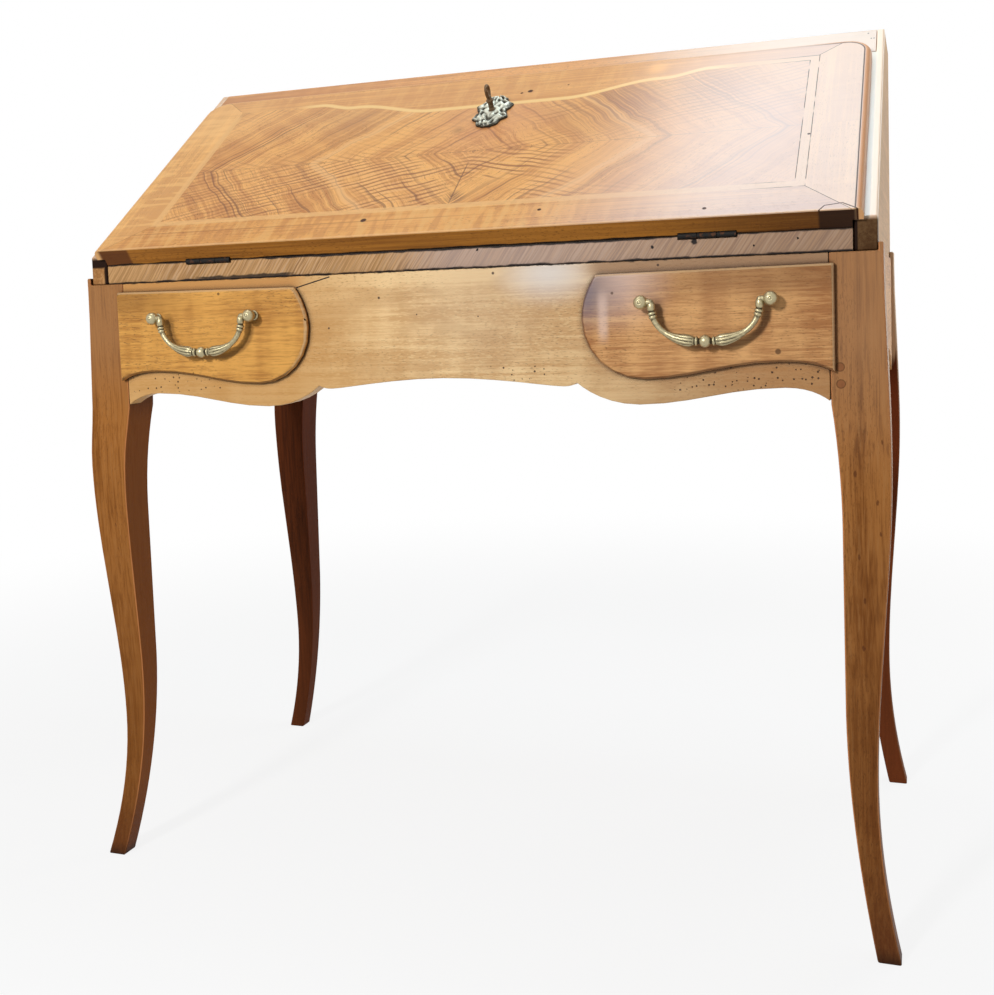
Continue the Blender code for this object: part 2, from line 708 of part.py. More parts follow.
def bail(name, slide, location):
    tip = HANDLE_SPAN / 2 - POST_BALL_RADIUS + PIVOT_DEPTH - CLEARANCE
    shoulder = HANDLE_SPAN / 2 - BAIL_SHOULDER
    knots = [(tip, 0, PIVOT_RADIUS), (shoulder, 0, PIVOT_RADIUS)]
    for step in range(1, BAIL_STEPS):
        angle = pi * step / BAIL_STEPS
        across = shoulder * abs(cos(angle)) ** BAIL_SQUARENESS * (1 if cos(angle) > 0 else -1)
        drop = BAIL_DROP * sin(angle) ** BAIL_SQUARENESS
        leaf = BAIL_LEAF_SWELL * max(0, 1 - ((abs(across) - BAIL_LEAF_AT) / BAIL_LEAF_REACH) ** 2)
        ball = max(0, 1 - (across / BAIL_BALL_RADIUS) ** 2) ** 0.5 * BAIL_BALL_RADIUS
        knots.append((across, -drop, max(BAIL_RADIUS + leaf, ball)))
    knots += [(-shoulder, 0, PIVOT_RADIUS), (-tip, 0, PIVOT_RADIUS)]
    curve = bpy.data.curves.new(name, "CURVE")
    curve.dimensions = "3D"
    curve.bevel_depth = BAIL_RADIUS
    curve.bevel_resolution = WIRE_STEPS
    curve.use_fill_caps = True
    spline = curve.splines.new("POLY")
    spline.points.add(len(knots) - 1)
    for point, (across, up, radius) in zip(spline.points, knots):
        point.co = (across, 0, up, 1)
        point.radius = radius / BAIL_RADIUS
    add(name, curve, BRASS, slide, location)


def runners():
    low = DRAWER_FLOOR - CLEARANCE - RUNNER_HEIGHT
    for side, word in ((-1, "left"), (1, "right")):
        for edge, place in ((-1, "inner"), (1, "outer")):
            middle = side * (DRAWER_X + edge * (BOX_HALF - DRAWER_WALL / 2))
            bar = box(
                (middle - RUNNER_WIDTH / 2, APRON_THICKNESS + CLEARANCE, low),
                (middle + RUNNER_WIDTH / 2, CASE_DEPTH - APRON_THICKNESS - CLEARANCE, low + RUNNER_HEIGHT))
            add(word + "_drawer_" + place + "_runner", bar, INNER_WOOD)


# Flap: x across, y up the slope from the hinge line, z out of the slope

FLAP = empty("flap_hinge_line", HINGE_LINE, (FLAP_SLOPE, 0, 0), DESK)


def flap_panel():
    curve = ROUND_HANDLE * FLAP_CORNER
    half = [
        corner(FLAP_HALF, HINGE_GAP),
        bend(FLAP_HALF, FLAP_TOP - FLAP_CORNER, None, (0, curve)),
        bend(FLAP_HALF - FLAP_CORNER, FLAP_TOP, (curve, 0), None),
    ]
    board = plate(
        half + mirrored(half), 0, FLAP_THICKNESS, IN_PLANE, FLAP_MOULDING, FLAP_THICKNESS, HINGE_GAP)
    panel = add("flap_panel", board, VENEER, FLAP)
    far = 2 * FLAP_HALF
    rebates = {
        "left": ((-far, -FLAP_TOP, -FLAP_TOP), (-FLAP_BODY_HALF, far, FLAP_BACK_OF_LIP)),
        "right": ((FLAP_BODY_HALF, -FLAP_TOP, -FLAP_TOP), (far, far, FLAP_BACK_OF_LIP)),
        "top": ((-far, FLAP_BODY_TOP, -FLAP_TOP), (far, far, FLAP_BACK_OF_LIP)),
    }
    for word, (low, high) in rebates.items():
        cut(panel, tool("flap_rebate_" + word, box(low, high), FLAP))
    return panel


def hinge(word, middle, panel, rail):
    """A butt hinge: the lower leaf and pin stay with the rail, the upper leaf turns with the flap."""
    first = middle - HINGE_LENGTH / 2
    last = middle + HINGE_LENGTH / 2
    third = HINGE_LENGTH / 3
    room = KNUCKLE_RADIUS + HINGE_GAP
    end_knuckles = [(first, first + third), (last - third, last)]
    middle_knuckle = [(first + third, last - third)]

    def along(frame, start, end, radius):
        offset = HINGE_LINE if frame is DESK else Vector()
        return rod(Vector((start, 0, 0)) + offset, Vector((end, 0, 0)) + offset, radius)

    def leaf_box(frame, start, grow, outside):
        """A leaf's plate, or its recess: grown all round and running out past the wood's face."""
        low = -HINGE_LEAF_THICKNESS - grow if frame is DESK else -outside
        high = outside if frame is DESK else HINGE_LEAF_THICKNESS + grow
        offset = HINGE_LINE if frame is DESK else Vector()
        return box(
            Vector((first - grow, start, low)) + offset,
            Vector((last + grow, HINGE_LEAF_WIDTH + grow, high)) + offset)

    leaves = (
        ("lower", DESK, rail, end_knuckles, middle_knuckle),
        ("upper", FLAP, panel, middle_knuckle, end_knuckles),
    )
    for kind, frame, wood, knuckles, others in leaves:
        name = word + "_hinge_" + kind + "_leaf"
        leaf = add(name, leaf_box(frame, 0, 0, 0), IRON, frame)
        for start, end in others:
            relief = along(frame, start - CLEARANCE, end + CLEARANCE, room)
            cut(leaf, tool(name + "_relief", relief, frame))
        for start, end in knuckles:
            barrel = along(frame, start + CLEARANCE, end - CLEARANCE, KNUCKLE_RADIUS)
            join(leaf, tool(name + "_barrel", barrel, frame))
        bore = along(frame, first - third, last + third, HINGE_PIN_RADIUS + CLEARANCE)
        cut(leaf, tool(name + "_bore", bore, frame))
        recess = leaf_box(frame, KNUCKLE_RADIUS / 2, CLEARANCE, HINGE_LEAF_WIDTH)
        cut(wood, tool(name + "_recess", recess, frame))
        notch = along(frame, first - CLEARANCE, last + CLEARANCE, room)
        cut(wood, tool(name + "_notch", notch, frame))
    add(word + "_hinge_pin", along(DESK, first, last, HINGE_PIN_RADIUS), IRON)


def keyhole():
    """Two cutters that make a keyhole through whatever stands in front of the lock."""
    low = LOCK_THICKNESS / 2
    high = FLAP_THICKNESS * 2
    room = KEY_RADIUS + CLEARANCE
    half_slot = KEY_BIT_WIDTH / 2 + CLEARANCE
    slot_end = KEY_HEIGHT - KEY_RADIUS - KEY_BIT_LENGTH - CLEARANCE
    hole = rod((0, KEY_HEIGHT, low), (0, KEY_HEIGHT, high), room)
    slot = box((-half_slot, slot_end, low), (half_slot, KEY_HEIGHT, high))
    return tool("keyhole", hole, FLAP), tool("bit_slot", slot, FLAP)


def escutcheon():
    wide = ESCUTCHEON_WIDTH / 2
    tall = ESCUTCHEON_HEIGHT / 2
    half = [
        bend(0, -tall, (-0.2 * wide, 0), (0.2 * wide, 0)),
        bend(0.42 * wide, -0.66 * tall, (0, -0.1 * tall), (0.15 * wide, 0.1 * tall)),
        bend(0.92 * wide, -0.36 * tall, (0, -0.16 * tall), (0, 0.14 * tall)),
        bend(0.62 * wide, 0, (0, -0.11 * tall), (0, 0.11 * tall)),
        bend(wide, 0.32 * tall, (0, -0.14 * tall), (0, 0.14 * tall)),
        bend(0.48 * wide, 0.60 * tall, (0.2 * wide, -0.05 * tall), (-0.1 * wide, 0.1 * tall)),
        bend(0, tall, (0.27 * wide, 0), (-0.27 * wide, 0)),
    ]
    other = mirrored(half[1:-1])
    outline = [(u, v + KEY_HEIGHT, before, after) for u, v, before, after in half + other]
    low = FLAP_THICKNESS + CLEARANCE
    plate_mesh = plate(outline, low, low + ESCUTCHEON_THICKNESS, IN_PLANE)
    return add("escutcheon", plate_mesh, STEEL, FLAP)


def lock(panel, top):
    half = LOCK_WIDTH / 2
    pocket = box(
        (-half - CLEARANCE, LOCK_LOW - CLEARANCE, -LOCK_THICKNESS),
        (half + CLEARANCE, LOCK_HIGH + CLEARANCE, LOCK_THICKNESS + CLEARANCE))
    cut(panel, tool("lock_pocket", pocket, FLAP))
    lock_case = add("lock_case", box((-half, LOCK_LOW, 0), (half, LOCK_HIGH, LOCK_THICKNESS)), IRON, FLAP)
    hollow = box(
        (-half + LOCK_WALL, LOCK_LOW + LOCK_WALL, LOCK_WALL),
        (half - LOCK_WALL, LOCK_HIGH - LOCK_WALL, 2 * LOCK_THICKNESS))
    cut(lock_case, tool("lock_hollow", hollow, FLAP))
    side = BOLT_WIDTH / 2
    rest_end = FLAP_BODY_TOP - CLEARANCE
    passage = box(
        (-side - CLEARANCE, LOCK_HIGH - 2 * LOCK_WALL, BOLT_BACK - CLEARANCE),
        (side + CLEARANCE, FLAP_BODY_TOP + LOCK_COVER, BOLT_BACK + BOLT_THICKNESS + CLEARANCE))
    slot = tool("bolt_passage", passage, FLAP)
    cut(panel, slot)
    cut(lock_case, slot)
    strike = box(
        (-side - SLIDE_CLEARANCE, FLAP_BODY_TOP - LOCK_COVER, BOLT_BACK - SLIDE_CLEARANCE),
        (side + SLIDE_CLEARANCE, rest_end + BOLT_THROW + LOCK_COVER,
         BOLT_BACK + BOLT_THICKNESS + SLIDE_CLEARANCE))
    cut(top, tool("bolt_strike", strike, FLAP))
    bolt = box((-side, rest_end - BOLT_LENGTH, BOLT_BACK), (side, rest_end, BOLT_BACK + BOLT_THICKNESS))
    add("lock_bolt", bolt, STEEL, FLAP)


def key():
    """The key stands on the flap's local z; its bit and bow lie in the plane of the slope's rise."""
    bow_centre = FLAP_THICKNESS + KEY_REACH - KEY_BOW_RADIUS - KEY_BOW_WIRE
    place = (0, KEY_HEIGHT, 0)
    shank = rod((0, 0, BIT_BACK - SLIDE_CLEARANCE / 2), (0, 0, bow_centre - KEY_BOW_RADIUS), KEY_RADIUS)
    obj = add("key", shank, STEEL, FLAP, place)
    ring = bpy.data.curves.new("bow", "CURVE")
    ring.dimensions = "3D"
    ring.bevel_depth = KEY_BOW_WIRE
    ring.bevel_resolution = WIRE_STEPS
    spline = ring.splines.new("POLY")
    spline.use_cyclic_u = True
    spline.points.add(ROUND_STEPS - 1)
    for step, point in enumerate(spline.points):
        angle = 2 * pi * step / ROUND_STEPS
        point.co = (0, KEY_BOW_RADIUS * sin(angle), bow_centre - KEY_BOW_RADIUS * cos(angle), 1)
    join(obj, tool("key_bow", to_mesh(curve_to_mesh(ring)), FLAP, place))
    bit = box(
        (-KEY_BIT_WIDTH / 2, -KEY_RADIUS - KEY_BIT_LENGTH, BIT_BACK),
        (KEY_BIT_WIDTH / 2, 0, BIT_BACK + KEY_BIT_DEPTH))
    join(obj, tool("key_bit", bit, FLAP, place))


# Gallery


def gallery():
    fit = INNER - CLEARANCE
    add("gallery_shelf", box((-fit, GALLERY_FRONT, SHELF_UNDER), (fit, GALLERY_BACK, SHELF_TOP)), INNER_WOOD)
    under_top = GALLERY_TOP - GALLERY_BOARD
    add("gallery_top", box((-fit, GALLERY_FRONT, under_top), (fit, GALLERY_BACK, GALLERY_TOP)), INNER_WOOD)
    levels = (("lower", WRITING_HEIGHT, SHELF_UNDER), ("upper", SHELF_TOP, under_top))
    for side, word in ((-1, "left"), (1, "right")):
        faces = sorted((side * GALLERY_MIDDLE / 2, side * (GALLERY_MIDDLE / 2 + GALLERY_BOARD)))
        for level, low, high in levels:
            board = box(
                (faces[0], GALLERY_FRONT, low + CLEARANCE), (faces[1], GALLERY_BACK, high - CLEARANCE))
            add("gallery_" + level + "_divider_" + word, board, INNER_WOOD)
        small_drawer(word, side)


def small_drawer(word, side):
    near = GALLERY_MIDDLE / 2 + GALLERY_BOARD + SLIDE_CLEARANCE
    far = INNER - SLIDE_CLEARANCE
    half = (far - near) / 2
    place = (side * (near + far) / 2, GALLERY_FRONT, WRITING_HEIGHT + CLEARANCE)
    slide = empty(word + "_small_drawer_slide", place, parent=DESK)
    name = word + "_small_drawer_"
    height = SMALL_DRAWER_HEIGHT - SLIDE_CLEARANCE
    add(name + "front", box((-half, 0, 0), (half, SMALL_FRONT, height)), WALNUT, slide)
    start = SMALL_FRONT + CLEARANCE
    end = GALLERY_BACK - GALLERY_FRONT - SMALL_BACK_GAP
    block = box((-half, start, 0), (half, end, height - SMALL_TRAY_DROP))
    tray = add(name + "tray", block, INNER_WOOD, slide)
    inside = half - SMALL_WALL
    hollow = box((-inside, start + SMALL_WALL, SMALL_WALL), (inside, end - SMALL_WALL, 2 * height))
    cut(tray, tool(name + "hollow", hollow, slide))
    profile = ball_profile(KNOB_RADIUS, KNOB_REACH - KNOB_RADIUS, KNOB_REACH / 3)
    profile += [
        (KNOB_RADIUS / 2, KNOB_REACH / 4),
        (KNOB_RADIUS / 2, CLEARANCE),
        (0, CLEARANCE),
    ]
    turned(name + "knob", profile, BRASS, slide, (0, 0, height / 2), (pi / 2, 0, 0))


def build():
    legs = {}
    for side, word in ((-1, "left"), (1, "right")):
        legs["leg_front_" + word] = leg("leg_front_" + word, side, False)
        legs["leg_rear_" + word] = leg("leg_rear_" + word, side, True)
    front_apron(legs)
    back_apron(legs)
    side_apron("left", -1, legs)
    side_apron("right", 1, legs)
    top, rail = case()
    runners()
    drawer("left", -1)
    drawer("right", 1)
    panel = flap_panel()
    hinge("left", -HINGE_X, panel, rail)
    hinge("right", HINGE_X, panel, rail)
    keyhole_plate = escutcheon()
    lock(panel, top)
    for hole in keyhole():
        cut(panel, hole)
        cut(keyhole_plate, hole)
    key()
    gallery()


build()
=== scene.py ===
"""Dresses the slant-front desk: figured veneer, waxed walnut, brass handles and an old lock plate."""

import json
from math import cos, exp, pi, radians, sin, sqrt

import bmesh
import bpy
from mathutils import Matrix, Vector


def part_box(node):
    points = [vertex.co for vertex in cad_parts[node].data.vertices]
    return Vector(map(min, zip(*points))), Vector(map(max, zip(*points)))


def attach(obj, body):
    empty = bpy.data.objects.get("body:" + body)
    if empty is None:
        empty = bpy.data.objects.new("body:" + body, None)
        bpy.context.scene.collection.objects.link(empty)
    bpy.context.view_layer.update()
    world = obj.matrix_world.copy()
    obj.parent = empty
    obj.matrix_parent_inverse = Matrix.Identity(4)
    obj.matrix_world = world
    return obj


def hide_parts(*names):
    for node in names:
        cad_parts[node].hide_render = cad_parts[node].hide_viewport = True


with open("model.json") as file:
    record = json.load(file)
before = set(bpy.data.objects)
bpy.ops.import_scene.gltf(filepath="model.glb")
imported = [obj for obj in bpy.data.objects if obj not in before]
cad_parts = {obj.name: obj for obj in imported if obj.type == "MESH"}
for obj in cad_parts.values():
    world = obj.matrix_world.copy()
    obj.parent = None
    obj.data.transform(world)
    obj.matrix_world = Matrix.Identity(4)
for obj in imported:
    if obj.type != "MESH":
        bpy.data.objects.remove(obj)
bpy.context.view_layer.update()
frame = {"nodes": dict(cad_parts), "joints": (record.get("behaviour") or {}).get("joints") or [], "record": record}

# Places that the frame gives

NODES = frame["nodes"]
JOINTS = {joint["name"]: joint for joint in frame["joints"]}
BODY_OF = {node: body for body, held in frame["record"]["behaviour"]["bodies"].items() for node in held}
HINGE_LINE = Vector(JOINTS["flap_hinge"]["pos_m"])
UP_SLOPE = Vector(JOINTS["bolt_throw"]["axis"])
OUT_OF_SLOPE = Vector(JOINTS["key_turn"]["axis"])
KEY_PLACE = Vector(JOINTS["key_turn"]["pos_m"])
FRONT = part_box("front_apron")[0].y
RAIL_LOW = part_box("front_rail")[0].z
RAIL_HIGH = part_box("front_rail")[1].z
FLAP_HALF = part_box("flap_panel")[1].x
CASE_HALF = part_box("case_side_right")[1].x
FLAP_THICKNESS = 0.021
FLAP_TOP = 0.3478
FLAP_FRAME = Matrix((Vector((1, 0, 0)), UP_SLOPE, OUT_OF_SLOPE)).transposed().to_4x4()
FLAP_FRAME.translation = HINGE_LINE

# Meshes

WELD = 1e-5
SEAM = 1e-7
FLAT_ANGLE = radians(0.6)
SHARP_ANGLE = radians(30)
EASED = 0.0011
APRON_EASED = 0.0012
FLAP_EASED = 0.0014
CASE_EASED = 0.0016
LEG_EASED = 0.0022
DRAWER_EASED = 0.0026
EASED_STEPS = 3
ROUND_STEPS = 40


def tone(red, green, blue):
    """A colour as a screen shows it, 0 to 255, in the linear values that a shader takes."""

    def linear(level):
        share = level / 255
        return share / 12.92 if share <= 0.04045 else ((share + 0.055) / 1.055) ** 2.4

    return (linear(red), linear(green), linear(blue), 1)


# Shader maths

GRAIN_DEPTH = 0.00025
VENEER_DEPTH = 0.0002
CAST_DEPTH = 0.0001


class Value:
    """A socket that can be used in sums."""

    def __init__(self, finish, socket):
        self.finish = finish
        self.socket = socket

    def work(self, operation, *terms):
        return self.finish.node("ShaderNodeMath", {"operation": operation}, dict(enumerate(terms)))

    def __add__(self, other):
        return self.work("ADD", self, other)

    __radd__ = __add__

    def __sub__(self, other):
        return self.work("SUBTRACT", self, other)

    def __rsub__(self, other):
        return self.work("SUBTRACT", other, self)

    def __mul__(self, other):
        return self.work("MULTIPLY", self, other)

    __rmul__ = __mul__

    def __truediv__(self, other):
        return self.work("DIVIDE", self, other)

    def __gt__(self, other):
        return self.work("GREATER_THAN", self, other)

    def __abs__(self):
        return self.work("ABSOLUTE", self)

    def sine(self):
        return self.work("SINE", self)

    def least(self, other):
        return self.work("MINIMUM", self, other)

    def most(self, other):
        return self.work("MAXIMUM", self, other)


class Finish:
    """One material, whose patterns are laid out in metres on Object coordinates."""

    def __init__(self, name):
        self.material = bpy.data.materials.new(name)
        self.material.use_nodes = True
        self.tree = self.material.node_tree
        self.shader = self.tree.nodes["Principled BSDF"]
        self.place = self.node("ShaderNodeTexCoord", output="Object")
        self.x = self.node("ShaderNodeSeparateXYZ", {}, {0: self.place})
        self.y = self.also(self.x, 1)
        self.z = self.also(self.x, 2)
        normal = self.node("ShaderNodeTexCoord", output="Normal")
        self.facing_x = self.node("ShaderNodeSeparateXYZ", {}, {0: normal})
        self.facing_y = self.also(self.facing_x, 1)
        self.facing_z = self.also(self.facing_x, 2)
        self.colour = None

    def plug(self, node, inputs):
        """Give each named socket of a node its link or its fixed value."""
        for socket, value in inputs.items():
            if isinstance(value, Value):
                self.tree.links.new(value.socket, node.inputs[socket])
            else:
                node.inputs[socket].default_value = value

    def node(self, kind, settings=None, inputs=None, output=0):
        node = self.tree.nodes.new(kind)
        for setting, choice in (settings or {}).items():
            setattr(node, setting, choice)
        self.plug(node, inputs or {})
        return Value(self, node.outputs[output])

    def also(self, value, output):
        """Another output of the node that a value comes from."""
        return Value(self, value.socket.node.outputs[output])

    def combine(self, first, second, third=0.0):
        return self.node("ShaderNodeCombineXYZ", {}, {0: first, 1: second, 2: third})

    def noise(self, where, scale, seed, detail=2.0, rough=0.5, warp=0.0):
        shift = (seed * 1.7, seed * 2.9, seed * 4.3)
        spot = self.node("ShaderNodeMapping", {}, {"Vector": where, "Location": shift, "Scale": scale})
        inputs = {"Vector": spot, "Scale": 1.0, "Detail": detail, "Roughness": rough, "Distortion": warp}
        return self.node("ShaderNodeTexNoise", {}, inputs)

    def vector_math(self, operation, first, second, output=0):
        return self.node("ShaderNodeVectorMath", {"operation": operation}, {0: first, 1: second}, output)

    def dot(self, where, axis):
        return self.vector_math("DOT_PRODUCT", where, axis, "Value")

    def distance(self, where, point):
        return self.vector_math("DISTANCE", where, point, "Value")

    def smooth(self, value, low, high):
        """0 below low and 1 above high, or the other way round where low is the larger."""
        settings = {"interpolation_type": "SMOOTHSTEP"}
        return self.node("ShaderNodeMapRange", settings, {"Value": value, "From Min": low, "From Max": high})

    def mix(self, share, first, second):
        return self.node("ShaderNodeMix", {"data_type": "RGBA"}, {0: share, 6: first, 7: second}, 2)

    def tint(self, share, colour):
        """Lay a colour over the finish, by a share that may change over the surface."""
        self.colour = self.mix(share, self.colour, colour)

    def choose(self, share, first, second):
        return first + share * (second - first)

    def band(self, value, middle, half, soft):
        return self.smooth(abs(value - middle), half + soft, half)

    def patch(self, flat, middle, reach):
        """A soft round patch on a face, 1 in the middle and 0 at its reach."""
        return self.smooth(self.distance(flat, (*middle, 0)), reach, 0)

    def marks(self, flat, places):
        """Small round marks, each given as x, y and radius."""
        total = None
        for across, up, radius in places:
            mark = self.smooth(self.distance(flat, (across, up, 0)), radius, radius * 0.6)
            total = mark if total is None else total.most(mark)
        return total

    def stroke(self, flat, start, end, width):
        """A thin straight line on a face."""
        start = Vector((*start, 0))
        run = Vector((*end, 0)) - start
        offset = self.vector_math("SUBTRACT", flat, start)
        share = self.dot(offset, run / run.length_squared).most(0).least(1)
        nearest = self.node("ShaderNodeVectorMath", {"operation": "SCALE"}, {0: run, "Scale": share})
        return self.smooth(self.distance(offset, nearest), width, width * 0.4)

    def worm_holes(self, flat, area, corners):
        """Pin-prick holes of old worm inside a rectangle, about one to each square of the given side."""
        settings = {"voronoi_dimensions": "2D"}
        cells = self.node("ShaderNodeTexVoronoi", settings, {"Vector": flat, "Scale": 1 / area})
        pick = self.node("ShaderNodeSeparateColor", {}, {0: self.also(cells, "Color")})
        (left, low), (right, high) = corners
        across = self.node("ShaderNodeSeparateXYZ", {}, {0: flat})
        inside = self.band(across, (left + right) / 2, (right - left) / 2, 0.004)
        inside = inside * self.band(self.also(across, 1), (low + high) / 2, (high - low) / 2, 0.003)
        size = self.also(pick, 1) * 0.0006 + 0.0002
        return self.smooth(cells * area - size, 0.0004, 0.0) * (pick > 0.55) * inside

    def corner(self, reach):
        """How deep a point lies in the corner between two pieces, from ambient occlusion: 1 deep in it and 0 in
        the open; used to paint shade into corners.
        """
        open_share = self.node("ShaderNodeAmbientOcclusion", {"samples": 6}, {"Distance": reach}, "AO")
        return self.smooth(open_share, 0.86, 0.52)

    def dress(
            self, roughness, height=None, depth=GRAIN_DEPTH,
            coat=0.0, coat_rough=0.03, gloss=0.5, metallic=0.0):
        """Join the colour and the maps to the shader; what is the same all over is set on its own socket."""
        inputs = {
            "Base Color": self.colour, "Roughness": roughness, "Metallic": metallic,
            "Specular IOR Level": gloss, "Coat Weight": coat, "Coat Roughness": coat_rough}
        if height is not None:
            relief = {"Height": height, "Distance": depth}
            inputs["Normal"] = self.node("ShaderNodeBump", {}, relief, "Normal")
        self.plug(self.shader, inputs)
        return self


# Wood

# Dark colours for dirt, holes and joints, also laid on as painted shade and painted shadow
SOOT_AND_SHADOW = tone(24, 15, 10)
BROWN_SOOT_AND_SHADE = tone(58, 34, 18)

# Where a tone fades in towards one half of the desk
TO_LEFT = (0.1, -0.1)
TO_RIGHT = (-0.1, 0.1)


def shaded(colour, share):
    return (colour[0] * share, colour[1] * share, colour[2] * share, 1)


def slope_place(finish, axis=UP_SLOPE):
    """How far a point lies up the slope from the hinge line, or out of it."""
    return finish.dot(finish.vector_math("SUBTRACT", finish.place, HINGE_LINE), axis)


def planed(finish, grain, pale, deep, seed, curl=0.0, pitted=0.6):
    """Colour and height of planed wood; the first coordinate of grain runs along it."""
    drift = finish.noise(grain, (1.4, 11, 11), seed + 7)
    broad = finish.noise(grain, (1.8, 44, 44), seed, 3.0, 0.5, 0.5)
    lines = finish.noise(grain, (7, 330, 330), seed + 3, 4.0, 0.65)
    pores = finish.noise(grain, (210, 1000, 1000), seed + 5, 1.0)
    crowd = finish.noise(grain, (5, 26, 26), seed + 6, 1.0)
    figure = finish.noise(grain, (46, 8, 8), seed + 9, 1.0)
    streak = drift * 0.32 + broad * 0.32 + lines * 0.36 + (figure - 0.5) * curl
    ticks = finish.smooth(pores, 0.59, 0.71) * finish.smooth(crowd, 0.30, 0.60)
    wood = finish.mix(finish.smooth(streak, 0.41, 0.59), deep, pale)
    return finish.mix(ticks * pitted, wood, shaded(deep, 0.38)), lines * 0.6 - ticks * 0.7


def grained(finish, run, pale, deep, seed, curl=0.0, pitted=0.6):
    """Make the whole finish planed wood, and return its height."""
    finish.colour, height = planed(finish, run(finish), pale, deep, seed, curl, pitted)
    return height


def along_x(finish):
    return finish.place


def along_y(finish):
    return finish.combine(finish.y, finish.x, finish.z)


def along_z(finish):
    return finish.combine(finish.z, finish.x, finish.y)


def board(name, run, pale, deep, seed, curl=0.1, rough=0.42, gloss=0.5):
    """A plain waxed board."""
    finish = Finish(name)
    height = grained(finish, run, pale, deep, seed, curl)
    return finish.dress(rough + 0.08 * height, height, gloss=gloss)


def apron_wood():
    """The front apron: pale flecked wood with worm and nail holes and a dark joint under the rail, with painted
    sheen and painted shade in the corners round the drawers.
    """
    finish = Finish("apron_wood")
    x, z = finish.x, finish.z
    smooth = finish.smooth
    tint = finish.tint
    height = grained(finish, along_x, tone(255, 217, 160), tone(216, 169, 112), 2.0, 0.15, 0.55)
    flat = finish.combine(x, z)
    ragged = finish.noise(finish.place, (120, 120, 120), 1.0)
    fleck = finish.noise(flat, (150, 800, 1), 4.0, 2.0)
    tint(smooth(fleck, 0.53, 0.62) * 0.45, tone(255, 224, 166))
    smudge = finish.noise(flat, (14, 30, 1), 9.0, 3.0)
    tint(smooth(smudge, 0.50, 0.64) * 0.40, tone(196, 150, 98))
    # Painted sheen: a pale grey patch in the middle of the apron
    tint(finish.patch(flat, (0.045, 0.655), 0.13) * 0.35, tone(196, 166, 136))
    sheen = finish.patch(finish.combine(x * 0.6, z), (0.072, 0.676), 0.042)
    tint(smooth(x, 0.02, 0.30) * 0.60, tone(162, 118, 78))
    tint(smooth(x, 0.0, -0.20) * 0.72, tone(200, 144, 72))
    # Painted sheen: a pale reflection at the upper right
    tint(sheen * 0.75, tone(232, 226, 222))
    over = smooth(z, 0.668, 0.676) * smooth(abs(x), 0.150, 0.175)
    tint(over * smooth(x, *TO_LEFT) * 0.85, tone(204, 146, 80))
    tint(over * smooth(x, *TO_RIGHT) * 0.85, tone(168, 130, 96))
    below = smooth(z, 0.595, 0.575) * smooth(x, 0.20, 0.36)
    tint(below * 0.60, tone(176, 118, 62))
    holes = finish.worm_holes(flat, 0.008, ((0.055, 0.568), (0.115, 0.580)))
    holes = holes.most(finish.worm_holes(flat, 0.0055, ((0.245, 0.556), (0.385, 0.588))))
    holes = holes.most(finish.worm_holes(flat, 0.0060, ((-0.385, 0.560), (-0.270, 0.578))))
    nails = finish.marks(flat, (
        (-0.070, 0.657, 0.0017), (-0.131, 0.626, 0.0014), (-0.027, 0.638, 0.0010), (0.042, 0.634, 0.0010),
        (0.060, 0.678, 0.0018), (0.232, 0.679, 0.0016), (0.068, 0.580, 0.0013)))
    crack = finish.stroke(flat, (-0.168, 0.6715), (-0.128, 0.6815), 0.0008)
    top_grime = smooth(z + ragged * 0.004, RAIL_LOW + 0.0005, RAIL_LOW + 0.0024)
    # Painted shade in the corners round the drawers, laid on together with the worm and nail holes
    tint(finish.corner(0.009).most(holes).most(nails) * 0.9, BROWN_SOOT_AND_SHADE)
    tint(crack.most(top_grime), SOOT_AND_SHADOW)
    return finish.dress(0.40 + 0.10 * height, height - holes.most(crack) * 3, gloss=0.3)


def top_wood():
    """The top board, its front edge painted pale as glare towards the right end."""
    finish = Finish("top_wood")
    x, z = finish.x, finish.z
    height = grained(finish, along_x, tone(222, 158, 94), tone(188, 125, 70), 37.0, 0.1)
    # Painted glare on the faces turned to the front, growing towards the right
    painted_glare = finish.smooth(x, 0.06, 0.36) * finish.smooth(finish.facing_y, -0.10, -0.40)
    finish.tint(painted_glare * 0.9, tone(234, 212, 194))
    flat = finish.combine(x, z)
    nails = finish.marks(flat, ((0.4205, 0.9405, 0.0012), (0.4240, 0.9325, 0.0010), (0.4270, 0.9325, 0.0010)))
    finish.tint(nails * 0.7, BROWN_SOOT_AND_SHADE)
    return finish.dress(0.32 + 0.08 * height, height, VENEER_DEPTH, coat=0.22, coat_rough=0.3, gloss=0.2)


